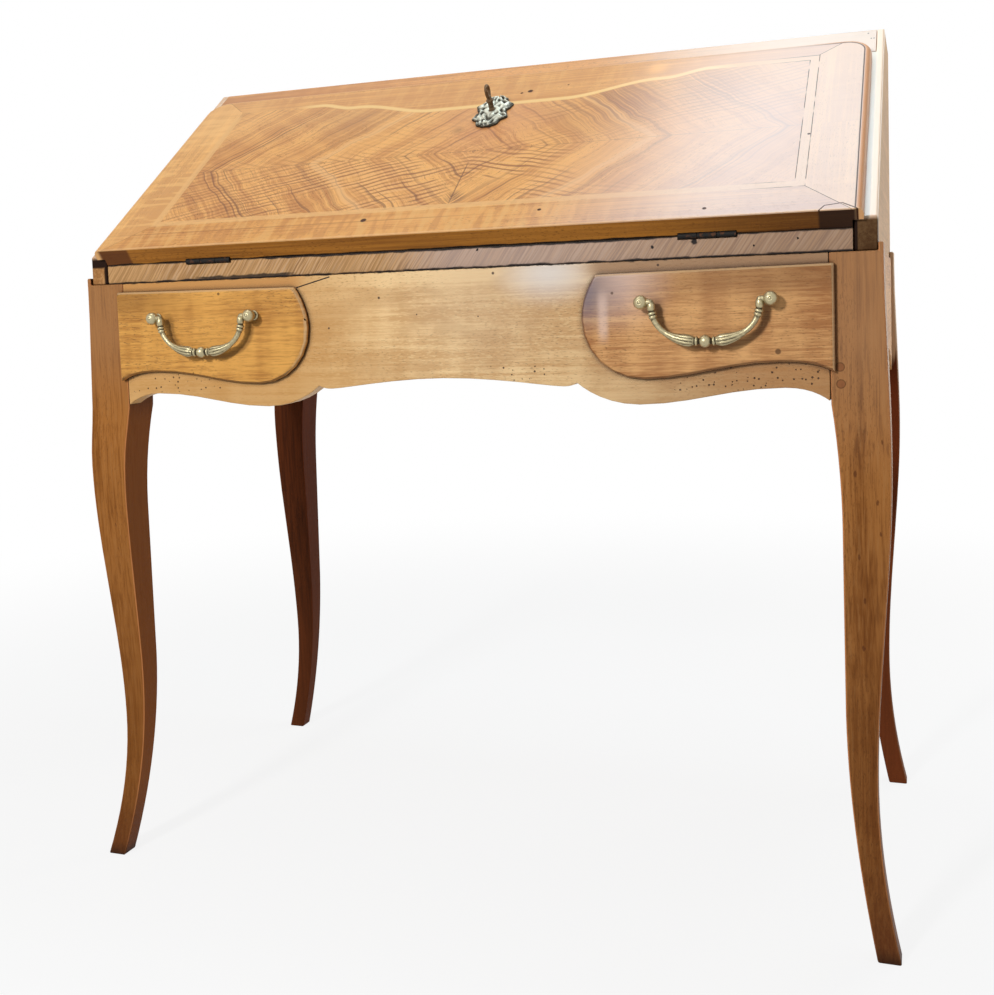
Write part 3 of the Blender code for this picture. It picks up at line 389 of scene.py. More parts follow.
def side_wood():
    """Case sides: plain boards; the sloped edge painted pale as glare, most at the right and lightest where the
    flap shades it; the front end painted dark as shade under the flap and on the right, with a dark gap by the
    rail; the outer right face painted lighter.
    """
    finish = Finish("side_wood")
    x, y, z = finish.x, finish.y, finish.z
    smooth = finish.smooth
    tint = finish.tint
    height = grained(finish, along_y, tone(216, 164, 108), tone(168, 118, 70), 31.0, 0.1)
    ragged = finish.noise(finish.place, (60, 60, 60), 3.0)
    # Painted shade at the front end: below the flap's corner and over the right side's end, with the dark gap by
    # the rail
    nose = smooth(y + (ragged - 0.5) * 0.012, FRONT + 0.034, FRONT + 0.022)
    nose = nose * smooth(z, RAIL_HIGH + 0.012, RAIL_HIGH + 0.006)
    right = smooth(x, *TO_RIGHT)
    inner = smooth(abs(x), 0.4225, 0.4195)
    top = smooth(z + ragged * 0.004, RAIL_HIGH - 0.002, RAIL_HIGH + 0.001) * (1 - right)
    tint(nose * inner.most(top).most(right * 0.8), tone(36, 20, 12))
    # Painted glare on the sloped edge, stronger at the right, and painted lighter near the flap where the flap's
    # shadow falls
    slope = smooth(slope_place(finish, OUT_OF_SLOPE), -0.003, 0.0) * (1 - nose)
    under_flap = smooth(abs(x), CASE_HALF - 0.005, CASE_HALF - 0.009)
    painted_glare_and_shadow = finish.mix(under_flap, tone(250, 218, 190), tone(255, 240, 214))
    tint(slope * (0.4 + right * 0.55), painted_glare_and_shadow)
    # Painted light on the outer face of the right side
    outer = smooth(x, CASE_HALF - 0.003, CASE_HALF - 0.001) * (1 - nose)
    tint(outer * 0.5, tone(226, 186, 140))
    coat = slope * (0.7 + 0.3 * under_flap)
    return finish.dress(0.50 + 0.08 * height, height, coat=coat, coat_rough=0.3, gloss=0.06)


def drawer_wood(hand, pale, deep, seed, sheen, shade_start, marks):
    """A drawer front's wood, with painted light in its middle, painted shade under its top edge, painted sheen, a
    painted shadow of its handle, painted highlight and shade on its rounded lip, and dark dirt with painted shade
    in the joint behind its lip.
    """
    finish = Finish(hand + "_drawer_wood")
    x, y, z = finish.x, finish.y, finish.z
    smooth = finish.smooth
    tint = finish.tint
    low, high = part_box(hand + "_bail")
    middle = (low.x + high.x) / 2
    pivot = JOINTS[hand + "_bail_swing"]["pos_m"][2]
    height = grained(finish, along_x, pale, deep, seed, 0.22)
    flat = finish.combine(x, z)
    # Painted light in the middle of the front
    tint(finish.patch(flat, (middle, 0.630), 0.13) * 0.38, shaded(pale, 1.12))
    wave = finish.noise(flat, (26, 3, 1), seed + 1, 1.0)
    tint(smooth(wave, 0.50, 0.66) * 0.34, deep)
    fleck = finish.noise(flat, (60, 620, 1), seed + 2, 2.0)
    tint(smooth(fleck, 0.52, 0.64) * 0.30, shaded(pale, 1.15))
    tint(smooth(fleck, 0.46, 0.34) * 0.34, shaded(deep, 0.80))
    # Painted shade under the top edge, from shade_start outwards
    under_top = smooth(z, 0.636, 0.662) * smooth(abs(x), shade_start, shade_start + 0.11)
    tint(under_top * 0.58, shaded(deep, 0.60))
    # Painted sheen: a pale veil, a dark reflection at the left and a pale streak
    veil = finish.patch(flat, (middle - 0.085, 0.668), 0.065) * 0.8
    tint(veil * sheen, tone(216, 190, 182))
    tint(finish.patch(flat, (middle - 0.124, 0.655), 0.052) * sheen, tone(112, 106, 120))
    streak = finish.band(x, middle - 0.103, 0.001, 0.007) * finish.band(z, 0.630, 0.012, 0.020)
    tint(streak * sheen * 0.6, tone(244, 212, 196))
    # Painted shadow of the bail and its posts, a little below and to the right of them
    across = abs(x - middle - SHADOW_SHIFT) / (middle - low.x - BAIL_TIP)
    down = (pivot - SHADOW_SHIFT - z).most(0) / (pivot - low.z - CAD_BALL)
    bent = across.work("POWER", across, 2 / BAIL_SQUARENESS) + down.work("POWER", down, 2 / BAIL_SQUARENESS)
    painted_glare_and_shadow = finish.band(bent, 1.0, 0.06, 0.24) * (down > 0)
    for end in (low.x + POST_INSET, high.x - POST_INSET):
        painted_glare_and_shadow = painted_glare_and_shadow.most(finish.patch(flat, (end + SHADOW_SHIFT, pivot - SHADOW_SHIFT * 0.6), 0.011))
    tint(painted_glare_and_shadow * 0.52, tone(60, 26, 8))
    spots = finish.marks(flat, marks)
    tint(spots * 0.7, BROWN_SOOT_AND_SHADE)
    # Painted highlight on the rounded lip where it faces up or right, and painted shade where it faces down or
    # left
    rounded = smooth(finish.facing_y, -0.10, -0.45)
    bead = smooth(finish.facing_x.most(finish.facing_z), 0.25, 0.60) * rounded
    tint(bead * 0.5, tone(248, 216, 168))
    turned_in = smooth(finish.facing_x.least(finish.facing_z), -0.25, -0.60) * rounded
    tint(turned_in * 0.6, tone(78, 42, 20))
    # Dark dirt and painted shade in the joint behind the lip
    joint = smooth(y, FRONT - 0.0045, FRONT - 0.0015)
    tint(joint * 0.85, tone(66, 20, 6))
    return finish.dress(0.36 + 0.10 * height, height, gloss=0.2)


def leg_wood():
    """The front legs: darker towards the feet, with pegs and dents, painted highlight with wear along the arrises,
    and painted shade on the inner faces and in the corners.
    """
    finish = Finish("leg_wood")
    x, z = finish.x, finish.z
    smooth = finish.smooth
    tint = finish.tint
    height = grained(finish, along_z, tone(195, 130, 68), tone(146, 89, 39), 11.0, 0.12, 0.40)
    flat = finish.combine(x, z)
    fleck = finish.noise(along_z(finish), (16, 420, 420), 17.0, 3.0)
    tint(smooth(fleck, 0.52, 0.66) * 0.45, tone(104, 58, 26))
    tint(smooth(fleck, 0.46, 0.34) * 0.30, tone(210, 152, 92))
    tint(smooth(z, 0.55, 0.05) * 0.50, tone(100, 54, 22))
    left = smooth(x, *TO_LEFT)
    right = smooth(x, *TO_RIGHT)
    tint(left * 0.42, tone(122, 68, 6))
    tint(right * 0.28, tone(90, 46, 12))
    tint(left * smooth(z, 0.52, 0.64) * 0.34, tone(170, 134, 100))
    tint(right * smooth(z, 0.45, 0.62) * 0.35, tone(190, 150, 116))
    # Painted shade on the faces turned towards the middle, near black under the apron
    inward = smooth(finish.facing_x * finish.choose(x > 0, 1, -1), 0.35, 0.75)
    tint(inward * 0.75, tone(146, 78, 12))
    tint(inward * smooth(z, 0.515, 0.580) * 0.92, tone(34, 16, 6))
    # Painted highlight along the arrises, together with wear
    arris = smooth(abs(finish.facing_x), 0.20, 0.50) * smooth(abs(finish.facing_y), 0.20, 0.50)
    tint(arris * 0.60, tone(232, 154, 98))
    for place in ((0.4029, 0.5759), (0.4036, 0.5598)):
        gap = finish.distance(flat, (*place, 0))
        tint(smooth(gap, 0.0042, 0.0032) * 0.6, tone(136, 78, 48))
        tint(finish.band(gap, 0.0040, 0.0001, 0.0007) * 0.6, BROWN_SOOT_AND_SHADE)
    drawn_out = finish.combine(x + (finish.noise(flat, (300, 120, 1), 8.0) - 0.5) * 0.004, z * 0.4)
    dents = finish.marks(drawn_out, (
        (0.416, 0.1900, 0.0016), (0.440, 0.2020, 0.0012), (0.436, 0.1792, 0.0014), (0.438, 0.1672, 0.0012),
        (0.418, 0.1580, 0.0015), (0.423, 0.1408, 0.0016), (0.421, 0.1220, 0.0015), (-0.421, 0.1608, 0.0012)))
    tint(dents * 0.65, tone(84, 42, 22))
    foot = smooth(z, 0.10, 0.0)
    tint(foot * 0.55, tone(88, 44, 24))
    sole = smooth(z + finish.noise(finish.place, (90, 90, 90), 4.0) * 0.01, 0.022, 0.004)
    tint(sole * 0.7, SOOT_AND_SHADOW)
    # Painted shade in the corners between pieces
    tint(finish.corner(0.005) * 0.7, BROWN_SOOT_AND_SHADE)
    return finish.dress(0.42 + 0.10 * height, height, gloss=0.08)


def rear_wood():
    """The rear legs: painted almost black as shade on the sides that a sitter sees, browner outside and behind,
    with painted light on the front and upper outer face of the right one.
    """
    finish = Finish("rear_wood")
    x, z = finish.x, finish.z
    smooth = finish.smooth
    tint = finish.tint
    # The almost black base is painted shade; the faces turned out and back get brown wood below
    height = grained(finish, along_z, tone(92, 44, 18), tone(46, 18, 6), 13.0)
    brown, _ = planed(finish, along_z(finish), tone(158, 100, 54), tone(102, 58, 28), 14.0)
    outward = finish.facing_x * finish.choose(x > 0, -1, 1)
    tint(smooth(outward.most(finish.facing_y), 0.30, 0.70), brown)
    # Painted light on the front face of the right rear leg
    warm = smooth(x, 0.2, 0.3) * smooth(finish.facing_y, -0.3, -0.7)
    tint(warm * (0.24 + finish.band(z, 0.47, 0.02, 0.08) * 0.40), tone(176, 86, 44))
    tint(smooth(outward, -0.30, -0.70) * 0.45, tone(112, 54, 28))
    tint(smooth(z, 0.45, 0.10) * 0.35, tone(122, 66, 34))
    # Painted light on the top of the front face and on the upper outer face of the right rear leg
    ragged = finish.noise(finish.place, (160, 160, 12), 5.0)
    lit = smooth(z + ragged * 0.06, 0.585, 0.605) * smooth(finish.facing_y, -0.3, -0.6)
    lit = lit.most(smooth(z, 0.48, 0.64) * smooth(outward, 0.30, 0.70))
    tint(lit * smooth(x, 0.38, 0.40) * 0.9, tone(246, 206, 164))
    return finish.dress(0.55 + 0.10 * height, height, gloss=0.06)


# The flap's veneer: x across, s up the slope, all in metres

STRING_HALF = 0.0048
STRING_LOW = 0.0495
STRING_SIDE = 0.366
STRING_ARCH = 0.270
STRING_RISE = 0.027
STRING_STEP = 0.014
FIELD_MIDDLE = 0.163
GRAIN_ALONG = Vector((-0.636, 0.771, 0))
GRAIN_ACROSS = Vector((0.771, 0.636, 0))
RIPPLE_AXIS = Vector((-0.309, 0.951, 0))
RIPPLE_ROW = Vector((0.951, 0.309, 0))
RIPPLE_PERIOD = 0.0080
MITRE = 0.370
MITRE_LOW = 0.0455
MITRE_HIGH = 0.316
MOULDING = 0.006
CORNER = 0.028
FLAP_CRACK = ((0.386, 0.000), (0.391, 0.008), (0.407, 0.011), (0.421, 0.000))
CRACK_WIDTH = 0.0009


def flap_veneer():
    """The flap: four quarters of figured veneer in a border with pale stringing, on a solid panel."""
    finish = Finish("flap_veneer")
    x = finish.x
    noise = finish.noise
    smooth = finish.smooth
    tint = finish.tint
    s = slope_place(finish)
    face = finish.combine(x, s)
    u = abs(x)
    v = abs(s - FIELD_MIDDLE)
    wander = noise(face, (26, 26, 26), 1.0, 1.0) - 0.5
    folded = finish.combine(u + wander * 0.010, v + wander * 0.010)

    # Which veneer a point is on
    arch = STRING_ARCH + smooth(u, 0.085, 0.190) * STRING_RISE + smooth(u, 0.200, 0.250) * STRING_STEP
    edge = (u - STRING_SIDE).most(STRING_LOW - s).most(s - arch)
    field = smooth(edge, 0.0004, -0.0004)
    from_mitre = u - (MITRE_LOW - s).most(s - MITRE_HIGH)
    side = from_mitre > MITRE
    upper = s > FIELD_MIDDLE

    # Grain of each
    border_along = finish.choose(side, x, s)
    border_across = finish.choose(side, s, x)
    along = finish.choose(field, border_along, finish.dot(folded, GRAIN_ALONG))
    across = finish.choose(field, border_across, finish.dot(folded, GRAIN_ACROSS))
    leaf = (1 - field) * (1.3 + side * 0.9 + upper * 0.5)
    grain = finish.combine(along, across, leaf)
    finish.colour, height = planed(finish, grain, tone(250, 184, 102), tone(194, 124, 58), 21.0, 0.12)

    # Ripple across the grain
    over_rows = finish.dot(folded, RIPPLE_AXIS)
    rows = finish.combine(finish.dot(folded, RIPPLE_ROW), over_rows)
    sway = noise(folded, (8, 8, 8), 5.0, 1.0) * 16 + noise(rows, (22, 60, 1), 6.0, 1.0) * 5
    ripple = (over_rows * (2 * pi / RIPPLE_PERIOD) + sway).sine() * 0.5 + 0.5
    whole = smooth(noise(rows, (16, 110, 1), 7.0, 1.0), 0.32, 0.50)
    lively = smooth(noise(face, (8, 12, 12), 8.0, 1.0), 0.37, 0.54)
    lower_left = smooth(s, 0.195, 0.130) * smooth(x, 0.24, 0.08)
    lower_left = lower_left * finish.choose(smooth(x, -0.20, -0.30), 1, 0.45)
    upper_right = smooth(s, 0.15, 0.22) * smooth(x, 0.02, 0.12)
    where = (lower_left + upper_right * 0.8 + 0.20) * lively * whole * field
    tint(smooth(ripple, 0.58, 0.98) * where * 0.70, tone(136, 78, 38))
    tint(smooth(ripple, 0.40, 0.05) * where * 0.38, tone(246, 190, 126))
    quiver = noise(grain, (105, 20, 20), 9.0, 2.0)
    curly = (1 - field) * (1 - upper * 0.6 * (1 - side)) * smooth(x, 0.26, 0.06).most(0.25)
    tint(smooth(quiver, 0.50, 0.62) * curly * 0.50, tone(255, 202, 124))
    tint(smooth(quiver, 0.47, 0.36) * curly * 0.40, tone(184, 118, 62))
    low_line = finish.band(s, 0.0290, 0.0003, 0.0014) * smooth(x, 0.10, -0.05)
    tint(low_line * (1 - field) * 0.45, tone(140, 84, 42))
    over = smooth(s - arch, 0.0, 0.001)
    tint(over * 0.35, tone(218, 150, 86))
    under = smooth(s, STRING_LOW - 0.004, STRING_LOW - 0.006)
    tint(under * 0.36, tone(206, 135, 58))
    tint(side * (1 - field) * 0.45, tone(255, 194, 116))

    # Dark and pale streaks of the diamonds
    calm = field * (0.15 + smooth(x, 0.04, 0.20) * 0.35)
    tint(calm, tone(226, 158, 90))
    ring = finish.dot(folded, (1, 0.9, 0))
    fine = noise(grain, (6, 420, 420), 12.0, 2.0)
    drawn = smooth(noise(grain, (3, 260, 260), 15.0, 1.0), 0.61, 0.68)
    drawn = drawn * smooth(noise(folded, (14, 14, 14), 16.0, 1.0), 0.40, 0.58)
    drawn = drawn * finish.choose(smooth(x, 0.02, 0.20), 1, 0.35)
    tint(drawn * field * 0.56, tone(112, 64, 34))
    for middle, half in ((0.100, 0.007), (0.225, 0.010), (0.345, 0.008)):
        streak = finish.band(ring, middle, half * 0.3, half) * smooth(fine, 0.40, 0.58)
        tint(streak * field * 0.34, tone(130, 74, 38))
    tint(finish.band(ring, 0.205, 0.003, 0.006) * field * 0.5, tone(240, 184, 122))
    tint(finish.patch(face, (0.010, 0.235), 0.13) * field * 0.50, tone(212, 142, 104))
    tint(finish.patch(face, (-0.034, 0.214), 0.012) * 0.4, tone(120, 84, 46))
    tint(finish.patch(face, (-0.185, 0.265), 0.075) * field * 0.35, tone(165, 112, 68))
    knot = finish.patch(face, (0.004, 0.066), 0.017) * smooth(fine, 0.35, 0.55)
    tint(knot * 0.8, tone(92, 46, 22))
    seam = finish.band(x, 0.0, 0.0003, 0.0008) * finish.band(s, 0.095, 0.03, 0.02)
    seam = seam.most(finish.band(s, FIELD_MIDDLE, 0.0002, 0.0006) * 0.5)
    tint(seam * field * 0.7, tone(98, 54, 28))

    # Paler towards the top, with a browner leaf at the right
    tint(smooth(s, 0.19, 0.30) * 0.22, tone(255, 202, 140))
    brown = finish.patch(face, (0.145, 0.245), 0.11).most(finish.patch(face, (0.255, 0.262), 0.080) * 0.7)
    tint(brown * smooth(fine, 0.25, 0.60) * field * 0.70, tone(146, 92, 64))

    # Stringing
    tint(finish.patch(face, (0.186, 0.322), 0.020) * 0.7, tone(255, 186, 104))
    string = smooth(abs(edge), STRING_HALF, STRING_HALF - 0.0008)
    faded = smooth(x, -0.262, -0.290) * smooth(s, 0.295, 0.305)
    bright = smooth(s, 0.25, 0.265) * smooth(u, 0.29, 0.25)
    tint(string * (1 - faded * 0.85) * 0.76, tone(242, 186, 116))
    heart = smooth(abs(edge), STRING_HALF * 0.75, STRING_HALF * 0.55)
    tint(heart * bright * 0.75, tone(255, 212, 140))

    # Painted shade at the left and painted glare at the right
    tint(smooth(x, 0.30, 0.0) * 0.16, tone(70, 24, 6))
    painted_glare = smooth(x - (s - 0.17) * 0.25, 0.08, 0.34)
    tint(painted_glare * 0.58, tone(232, 216, 212))

    # Open joints beside the stringing and in the mitres
    thin = finish.band(abs(edge), STRING_HALF + 0.0002, 0.0001, 0.0005)
    broken = smooth(noise(face, (30, 30, 30), 14.0), 0.34, 0.46)
    open_joint = thin * broken * smooth(x, 0.05, 0.34) * smooth(u, 0.30, 0.36)
    mitre = finish.band(from_mitre, MITRE, 0.0001, 0.0006)
    open_joint = open_joint.most(mitre * (edge > STRING_HALF) * (0.5 + smooth(x, 0, 0.3) * 0.5))
    tint(open_joint, tone(54, 30, 18))

    # Moulded edge, wear and marks
    reach = finish.combine((u - (FLAP_HALF - CORNER)).most(0), (s - (FLAP_TOP - CORNER)).most(0))
    rim = finish.distance(reach, (0, 0, 0)) - CORNER
    clear = 0.15 + smooth(x, 0.34, 0.40) * 0.85
    moulded = smooth(rim, -MOULDING - 0.001, -MOULDING + 0.001) * clear
    tint(moulded * 0.85, tone(214, 140, 76))
    quirk = finish.band(rim, -MOULDING - 0.0012, 0.0003, 0.0008) * clear
    tint(quirk * 0.9, tone(54, 28, 14))
    worn = smooth(s + (noise(face, (60, 60, 60), 3.0) - 0.5) * 0.004, 0.0040, 0.0006)
    tint(worn * 0.5, tone(238, 190, 132))
    marks = finish.marks(face, (
        (-0.092, 0.031, 0.0042), (0.036, 0.296, 0.0040), (0.026, 0.293, 0.0022), (0.107, 0.031, 0.0026),
        (0.278, 0.015, 0.0026), (0.369, 0.143, 0.0020), (0.082, 0.303, 0.0014)))
    for start, end in zip(FLAP_CRACK, FLAP_CRACK[1:]):
        marks = marks.most(finish.stroke(face, start, end, CRACK_WIDTH))
    tint(marks, tone(72, 40, 20))

    # Solid wood of the lip and the back
    lip, _ = planed(finish, along_x(finish), tone(174, 114, 44), tone(130, 80, 30), 25.0)
    ragged = noise(face, (45, 45, 45), 6.0)
    foremost = smooth(s, 0.020, 0.012)
    repair = smooth(x + (ragged - 0.5) * 0.02, -0.380, -0.386) * foremost
    shadowed = smooth(x, 0.20, 0.42) * foremost
    lip = finish.mix(shadowed * 0.62, lip, tone(72, 40, 20))
    lip = finish.mix(repair * 0.85, lip, tone(92, 50, 24))
    lip = finish.mix(smooth(x, 0.384, 0.387) * foremost * 0.85, lip, tone(40, 24, 16))
    out = slope_place(finish, OUT_OF_SLOPE)
    # Painted shadow in the gap between the flap's lower edge and the rail, wider in the middle
    wide = smooth(abs(x - 0.015), 0.30, 0.16) * 0.0006
    gap_shadow = smooth(out + (ragged - 0.5) * 0.003 - wide, 0.0016, 0.0002) * smooth(s, 0.02, 0.01)
    lip = finish.mix(gap_shadow, lip, SOOT_AND_SHADOW)
    inside, _ = planed(finish, along_x(finish), tone(178, 122, 70), tone(128, 80, 42), 27.0, 0.1)
    lip = finish.mix(smooth(out, 0.0012, 0.0004) * smooth(s, 0.01, 0.02), lip, inside)
    solid = smooth(out, FLAP_THICKNESS - 0.0008, FLAP_THICKNESS - 0.0016) * smooth(rim, -0.003, -0.009)
    solid = solid.most(smooth(out, 0.008, 0.006))
    tint(solid, lip)
    coat = (1 - solid) * (1 - marks.most(open_joint).most(quirk).most(moulded * 0.7)) * 0.28
    return finish.dress(0.30 + 0.10 * height, height, VENEER_DEPTH, coat=coat, coat_rough=0.28, gloss=0.08)


def rail_veneer():
    """Cross-cut veneer on the rail: slanting light and dark stripes, with dirt in its lower joint, dark stains,
    and a painted shadow of the flap's lip along its top.
    """
    finish = Finish("rail_veneer")
    x, z = finish.x, finish.z
    smooth = finish.smooth
    tint = finish.tint
    face = finish.combine(x, z)
    lean = x - z * 0.70
    bent = finish.noise(face, (30, 30, 1), 2.0) * 0.004
    rows = finish.combine(lean + bent, z)
    stripe = finish.noise(rows, (480, 22, 1), 2.0, 1.0)
    fine = finish.noise(rows, (520, 30, 1), 3.0, 3.0)
    patchy = finish.noise(face, (11, 11, 11), 4.0)
    lively = smooth(patchy, 0.30, 0.55) * smooth(x, -0.43, -0.28)
    finish.colour = finish.mix(smooth(fine, 0.35, 0.65), tone(174, 131, 82), tone(204, 158, 106))
    tint(smooth(stripe, 0.50, 0.62) * lively * 0.52, tone(210, 176, 142))
    tint(smooth(stripe, 0.48, 0.36) * lively * 0.42, tone(112, 80, 56))
    in_front = smooth(finish.facing_y, -0.1, -0.5)
    grey = smooth(x, -0.07, 0.02) * (0.6 + smooth(x, 0.30, 0.08) * 0.4) * in_front
    tint(grey * 0.50, tone(184, 168, 168))
    tint(smooth(x, 0.12, 0.36) * 0.30, tone(128, 94, 68))
    ragged = finish.noise(finish.place, (70, 160, 160), 6.0)
    low = smooth(z - ragged * 0.004, RAIL_LOW + 0.0005, RAIL_LOW - 0.0012)
    patch = finish.band(x, -0.235, 0.05, 0.02) * smooth(z - ragged * 0.006, RAIL_LOW + 0.002, RAIL_LOW)
    # Painted shadow of the flap's lip along the top of the rail, wider in the middle
    wide = smooth(abs(x - 0.015), 0.26, 0.18) * 0.001
    high = smooth(z + ragged * 0.003 + wide, RAIL_HIGH - 0.0002, RAIL_HIGH + 0.0014)
    high = high * in_front
    ragged_face = finish.combine(x + (ragged - 0.5) * 0.010, z + (patchy - 0.5) * 0.006)
    spots = finish.marks(ragged_face, (
        (0.267, RAIL_HIGH - 0.005, 0.0042), (0.041, RAIL_HIGH - 0.003, 0.0018),
        (0.226, RAIL_HIGH - 0.009, 0.0022), (0.364, RAIL_HIGH - 0.007, 0.0016),
        (0.325, RAIL_HIGH - 0.012, 0.0014)))
    # Dark dirt in the lower joint, stains, and the painted shadow along the top
    dark = low.most(high).most(patch * 0.9).most(spots)
    tint(dark, SOOT_AND_SHADOW)
    return finish.dress(0.50 + 0.1 * fine, fine, VENEER_DEPTH, gloss=0.2)


def metal(name, bright, dull, rough, metallic):
    """Cast metal, bright where its worn attribute is high and dark with age in the hollows."""
    finish = Finish(name)
    worn = finish.node("ShaderNodeAttribute", {"attribute_name": "worn"}, {}, "Fac")
    mottle = finish.noise(finish.place, (420, 420, 420), 3.0, 3.0)
    share = finish.smooth(worn + (mottle - 0.5) * 0.7, 0.15, 0.75)
    finish.colour = finish.mix(share, dull, bright)
    return finish.dress(rough + 0.25 * (1 - share), mottle, CAST_DEPTH, metallic=metallic)


def iron():
    finish = Finish("blackened_iron")
    mottle = finish.noise(finish.place, (240, 240, 240), 3.0, 3.0)
    finish.colour = finish.mix(finish.smooth(mottle, 0.52, 0.70), tone(30, 28, 26), tone(84, 54, 36))
    return finish.dress(0.55 + 0.2 * mottle, mottle, CAST_DEPTH, metallic=0.7)


# Pieces

COLLECTION = bpy.context.scene.collection


def piece_from(name, bm, finish, node):
    """Make a finished bmesh a piece that stands for a CAD node and moves with its body."""
    bmesh.ops.recalc_face_normals(bm, faces=bm.faces)
    mesh = bpy.data.meshes.new(name)
    bm.to_mesh(mesh)
    bm.free()
    mesh.shade_smooth()
    mesh.materials.append(finish.material)
    piece = bpy.data.objects.new(name, mesh)
    COLLECTION.objects.link(piece)
    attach(piece, BODY_OF[node])
    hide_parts(node)
    return piece


def eased(node, finish, width=EASED):
    """A board of the CAD with its arrises rubbed soft."""
    bm = bmesh.new()
    bm.from_mesh(NODES[node].data)
    bmesh.ops.remove_doubles(bm, verts=bm.verts, dist=WELD)
    bmesh.ops.dissolve_limit(bm, angle_limit=FLAT_ANGLE, verts=bm.verts, edges=bm.edges)
    piece = piece_from(node + "_eased", bm, finish, node)
    softened = piece.modifiers.new("softened", "BEVEL")
    softened.width = width
    softened.segments = EASED_STEPS
    softened.limit_method = "ANGLE"
    softened.angle_limit = SHARP_ANGLE
    evened = piece.modifiers.new("evened", "WEIGHTED_NORMAL")
    evened.mode = "FACE_AREA"
    return piece


def paint(node, finish):
    """Give a CAD node its finish and leave its shape."""
    mesh = NODES[node].data
    mesh.materials.clear()
    mesh.materials.append(finish.material)


# Turned and cast metal

BALL = 0.0062
BALL_WEAR = 0.9
CAD_BALL = 0.0058
BAIL_WIRE = 0.0029
BAIL_TIP = 0.0067
BAIL_SQUARENESS = 0.8
BAIL_STEPS = 200
BAIL_SIDES = 36
BAIL_RINGS = (
    (0.0084, 0.0013, 0.0050), (0.0109, 0.0011, 0.0045), (0.0600, 0.0014, 0.0042),
    (0.0634, 0.0014, 0.0044), (0.0700, 0.0040, 0.0040))
LEAF_START = 0.0114
LEAF_END = 0.0400
LEAF_SWELL = 0.0026
LEAF_FLUTES = 9
FLUTE_DEPTH = 0.10
BAIL_WEAR = 0.6
FLUTE_WEAR = 0.35
HOLLOW_WEAR = 350
HOLLOW_REACH = 0.002
POST_INSET = 0.004
# How far the painted shadow of a bail falls below and to the right of it
SHADOW_SHIFT = 0.006


def bail_girth(run):
    """Radius of a bail at a distance from its middle: ball, rings, leaf, slim arm and collars."""
    girth = max(BAIL_WIRE, sqrt(max(0, BALL * BALL - run * run)))
    for middle, half, radius in BAIL_RINGS:
        bulge = 1 - ((run - middle) / half) ** 2
        if bulge > 0:
            girth = max(girth, BAIL_WIRE + (radius - BAIL_WIRE) * sqrt(bulge))
    return girth + LEAF_SWELL * leaf_share(run)


def leaf_share(run):
    share = (run - LEAF_START) / (LEAF_END - LEAF_START)
    return sin(pi * share ** 0.45) if 0 < share < 1 else 0


def bail_line(tip, drop):
    """Evenly spaced points along a bail's bent rod from one ball to the other, with x across and z up."""
    shoulder = tip - BAIL_TIP
    points = [Vector((-tip, 0, 0))]
    for step in range(BAIL_STEPS * 4 + 1):
        turn = pi * step / (BAIL_STEPS * 4)
        across = shoulder * abs(cos(turn)) ** BAIL_SQUARENESS
        height = -drop * sin(turn) ** BAIL_SQUARENESS
        points.append(Vector((-across if turn < pi / 2 else across, 0, height)))
    points.append(Vector((tip, 0, 0)))
    runs = [0.0]
    for last, point in zip(points, points[1:]):
        runs.append(runs[-1] + (point - last).length)
    even = []
    index = 0
    for step in range(BAIL_STEPS + 1):
        run = runs[-1] * step / BAIL_STEPS
        while index < len(runs) - 2 and runs[index + 1] < run:
            index += 1
        share = (run - runs[index]) / max(runs[index + 1] - runs[index], 1e-9)
        even.append(points[index].lerp(points[index + 1], share))
    return even, runs[-1]


def bail(node, brass):
    """A cast bail: a rod bent to the line of the CAD's, with a ball, rings and fluted leaves."""
    low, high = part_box(node)
    pivot = Vector(JOINTS[node + "_swing"]["pos_m"])
    line, length = bail_line((high.x - low.x) / 2, pivot.z - low.z - CAD_BALL)
    bm = bmesh.new()
    worn = bm.verts.layers.float.new("worn")
    bmesh.ops.create_cone(bm, cap_ends=True, segments=BAIL_SIDES, radius1=1, radius2=1, depth=1)
    rails = [edge for edge in bm.edges if abs(edge.verts[0].co.z - edge.verts[1].co.z) > 0.5]
    bmesh.ops.subdivide_edges(bm, edges=rails, cuts=BAIL_STEPS - 1, use_grid_fill=True)
    for vert in bm.verts:
        step = round((vert.co.z + 0.5) * BAIL_STEPS)
        run = abs(step / BAIL_STEPS - 0.5) * length
        ahead = line[min(step + 2, BAIL_STEPS)] - line[max(step - 2, 0)]
        normal = Vector((-ahead.z, 0, ahead.x)).normalized()
        around = Vector((vert.co.x, vert.co.y))
        flute = cos(LEAF_FLUTES * around.angle_signed(Vector((1, 0)))) * leaf_share(run)
        girth = bail_girth(run)
        hollow = (bail_girth(run - HOLLOW_REACH) + bail_girth(run + HOLLOW_REACH)) / 2 - girth
        vert[worn] = BAIL_WEAR + FLUTE_WEAR * flute - HOLLOW_WEAR * hollow
        girth *= 1 + FLUTE_DEPTH * flute
        vert.co = pivot + line[step] + (normal * around.x + Vector((0, around.y, 0))) * girth
    return piece_from(node + "_cast", bm, brass, node)


def spun(bm, verts, edges, centre, axis, steps):
    """Spin a line or a ring of a mesh once round an axis, and close the seam."""
    bmesh.ops.spin(
        bm, geom=verts + edges, cent=centre, axis=axis, dvec=(0, 0, 0), angle=2 * pi, steps=steps,
        use_merge=True)
    bmesh.ops.remove_doubles(bm, verts=bm.verts, dist=SEAM)


def turned_room(node):
    """The front end of a turned node's axis, its radius and its depth."""
    low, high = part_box(node)
    end = Vector(((low.x + high.x) / 2, low.y, (low.z + high.z) / 2))
    return end, (high.z - low.z) / 2, high.y - low.y


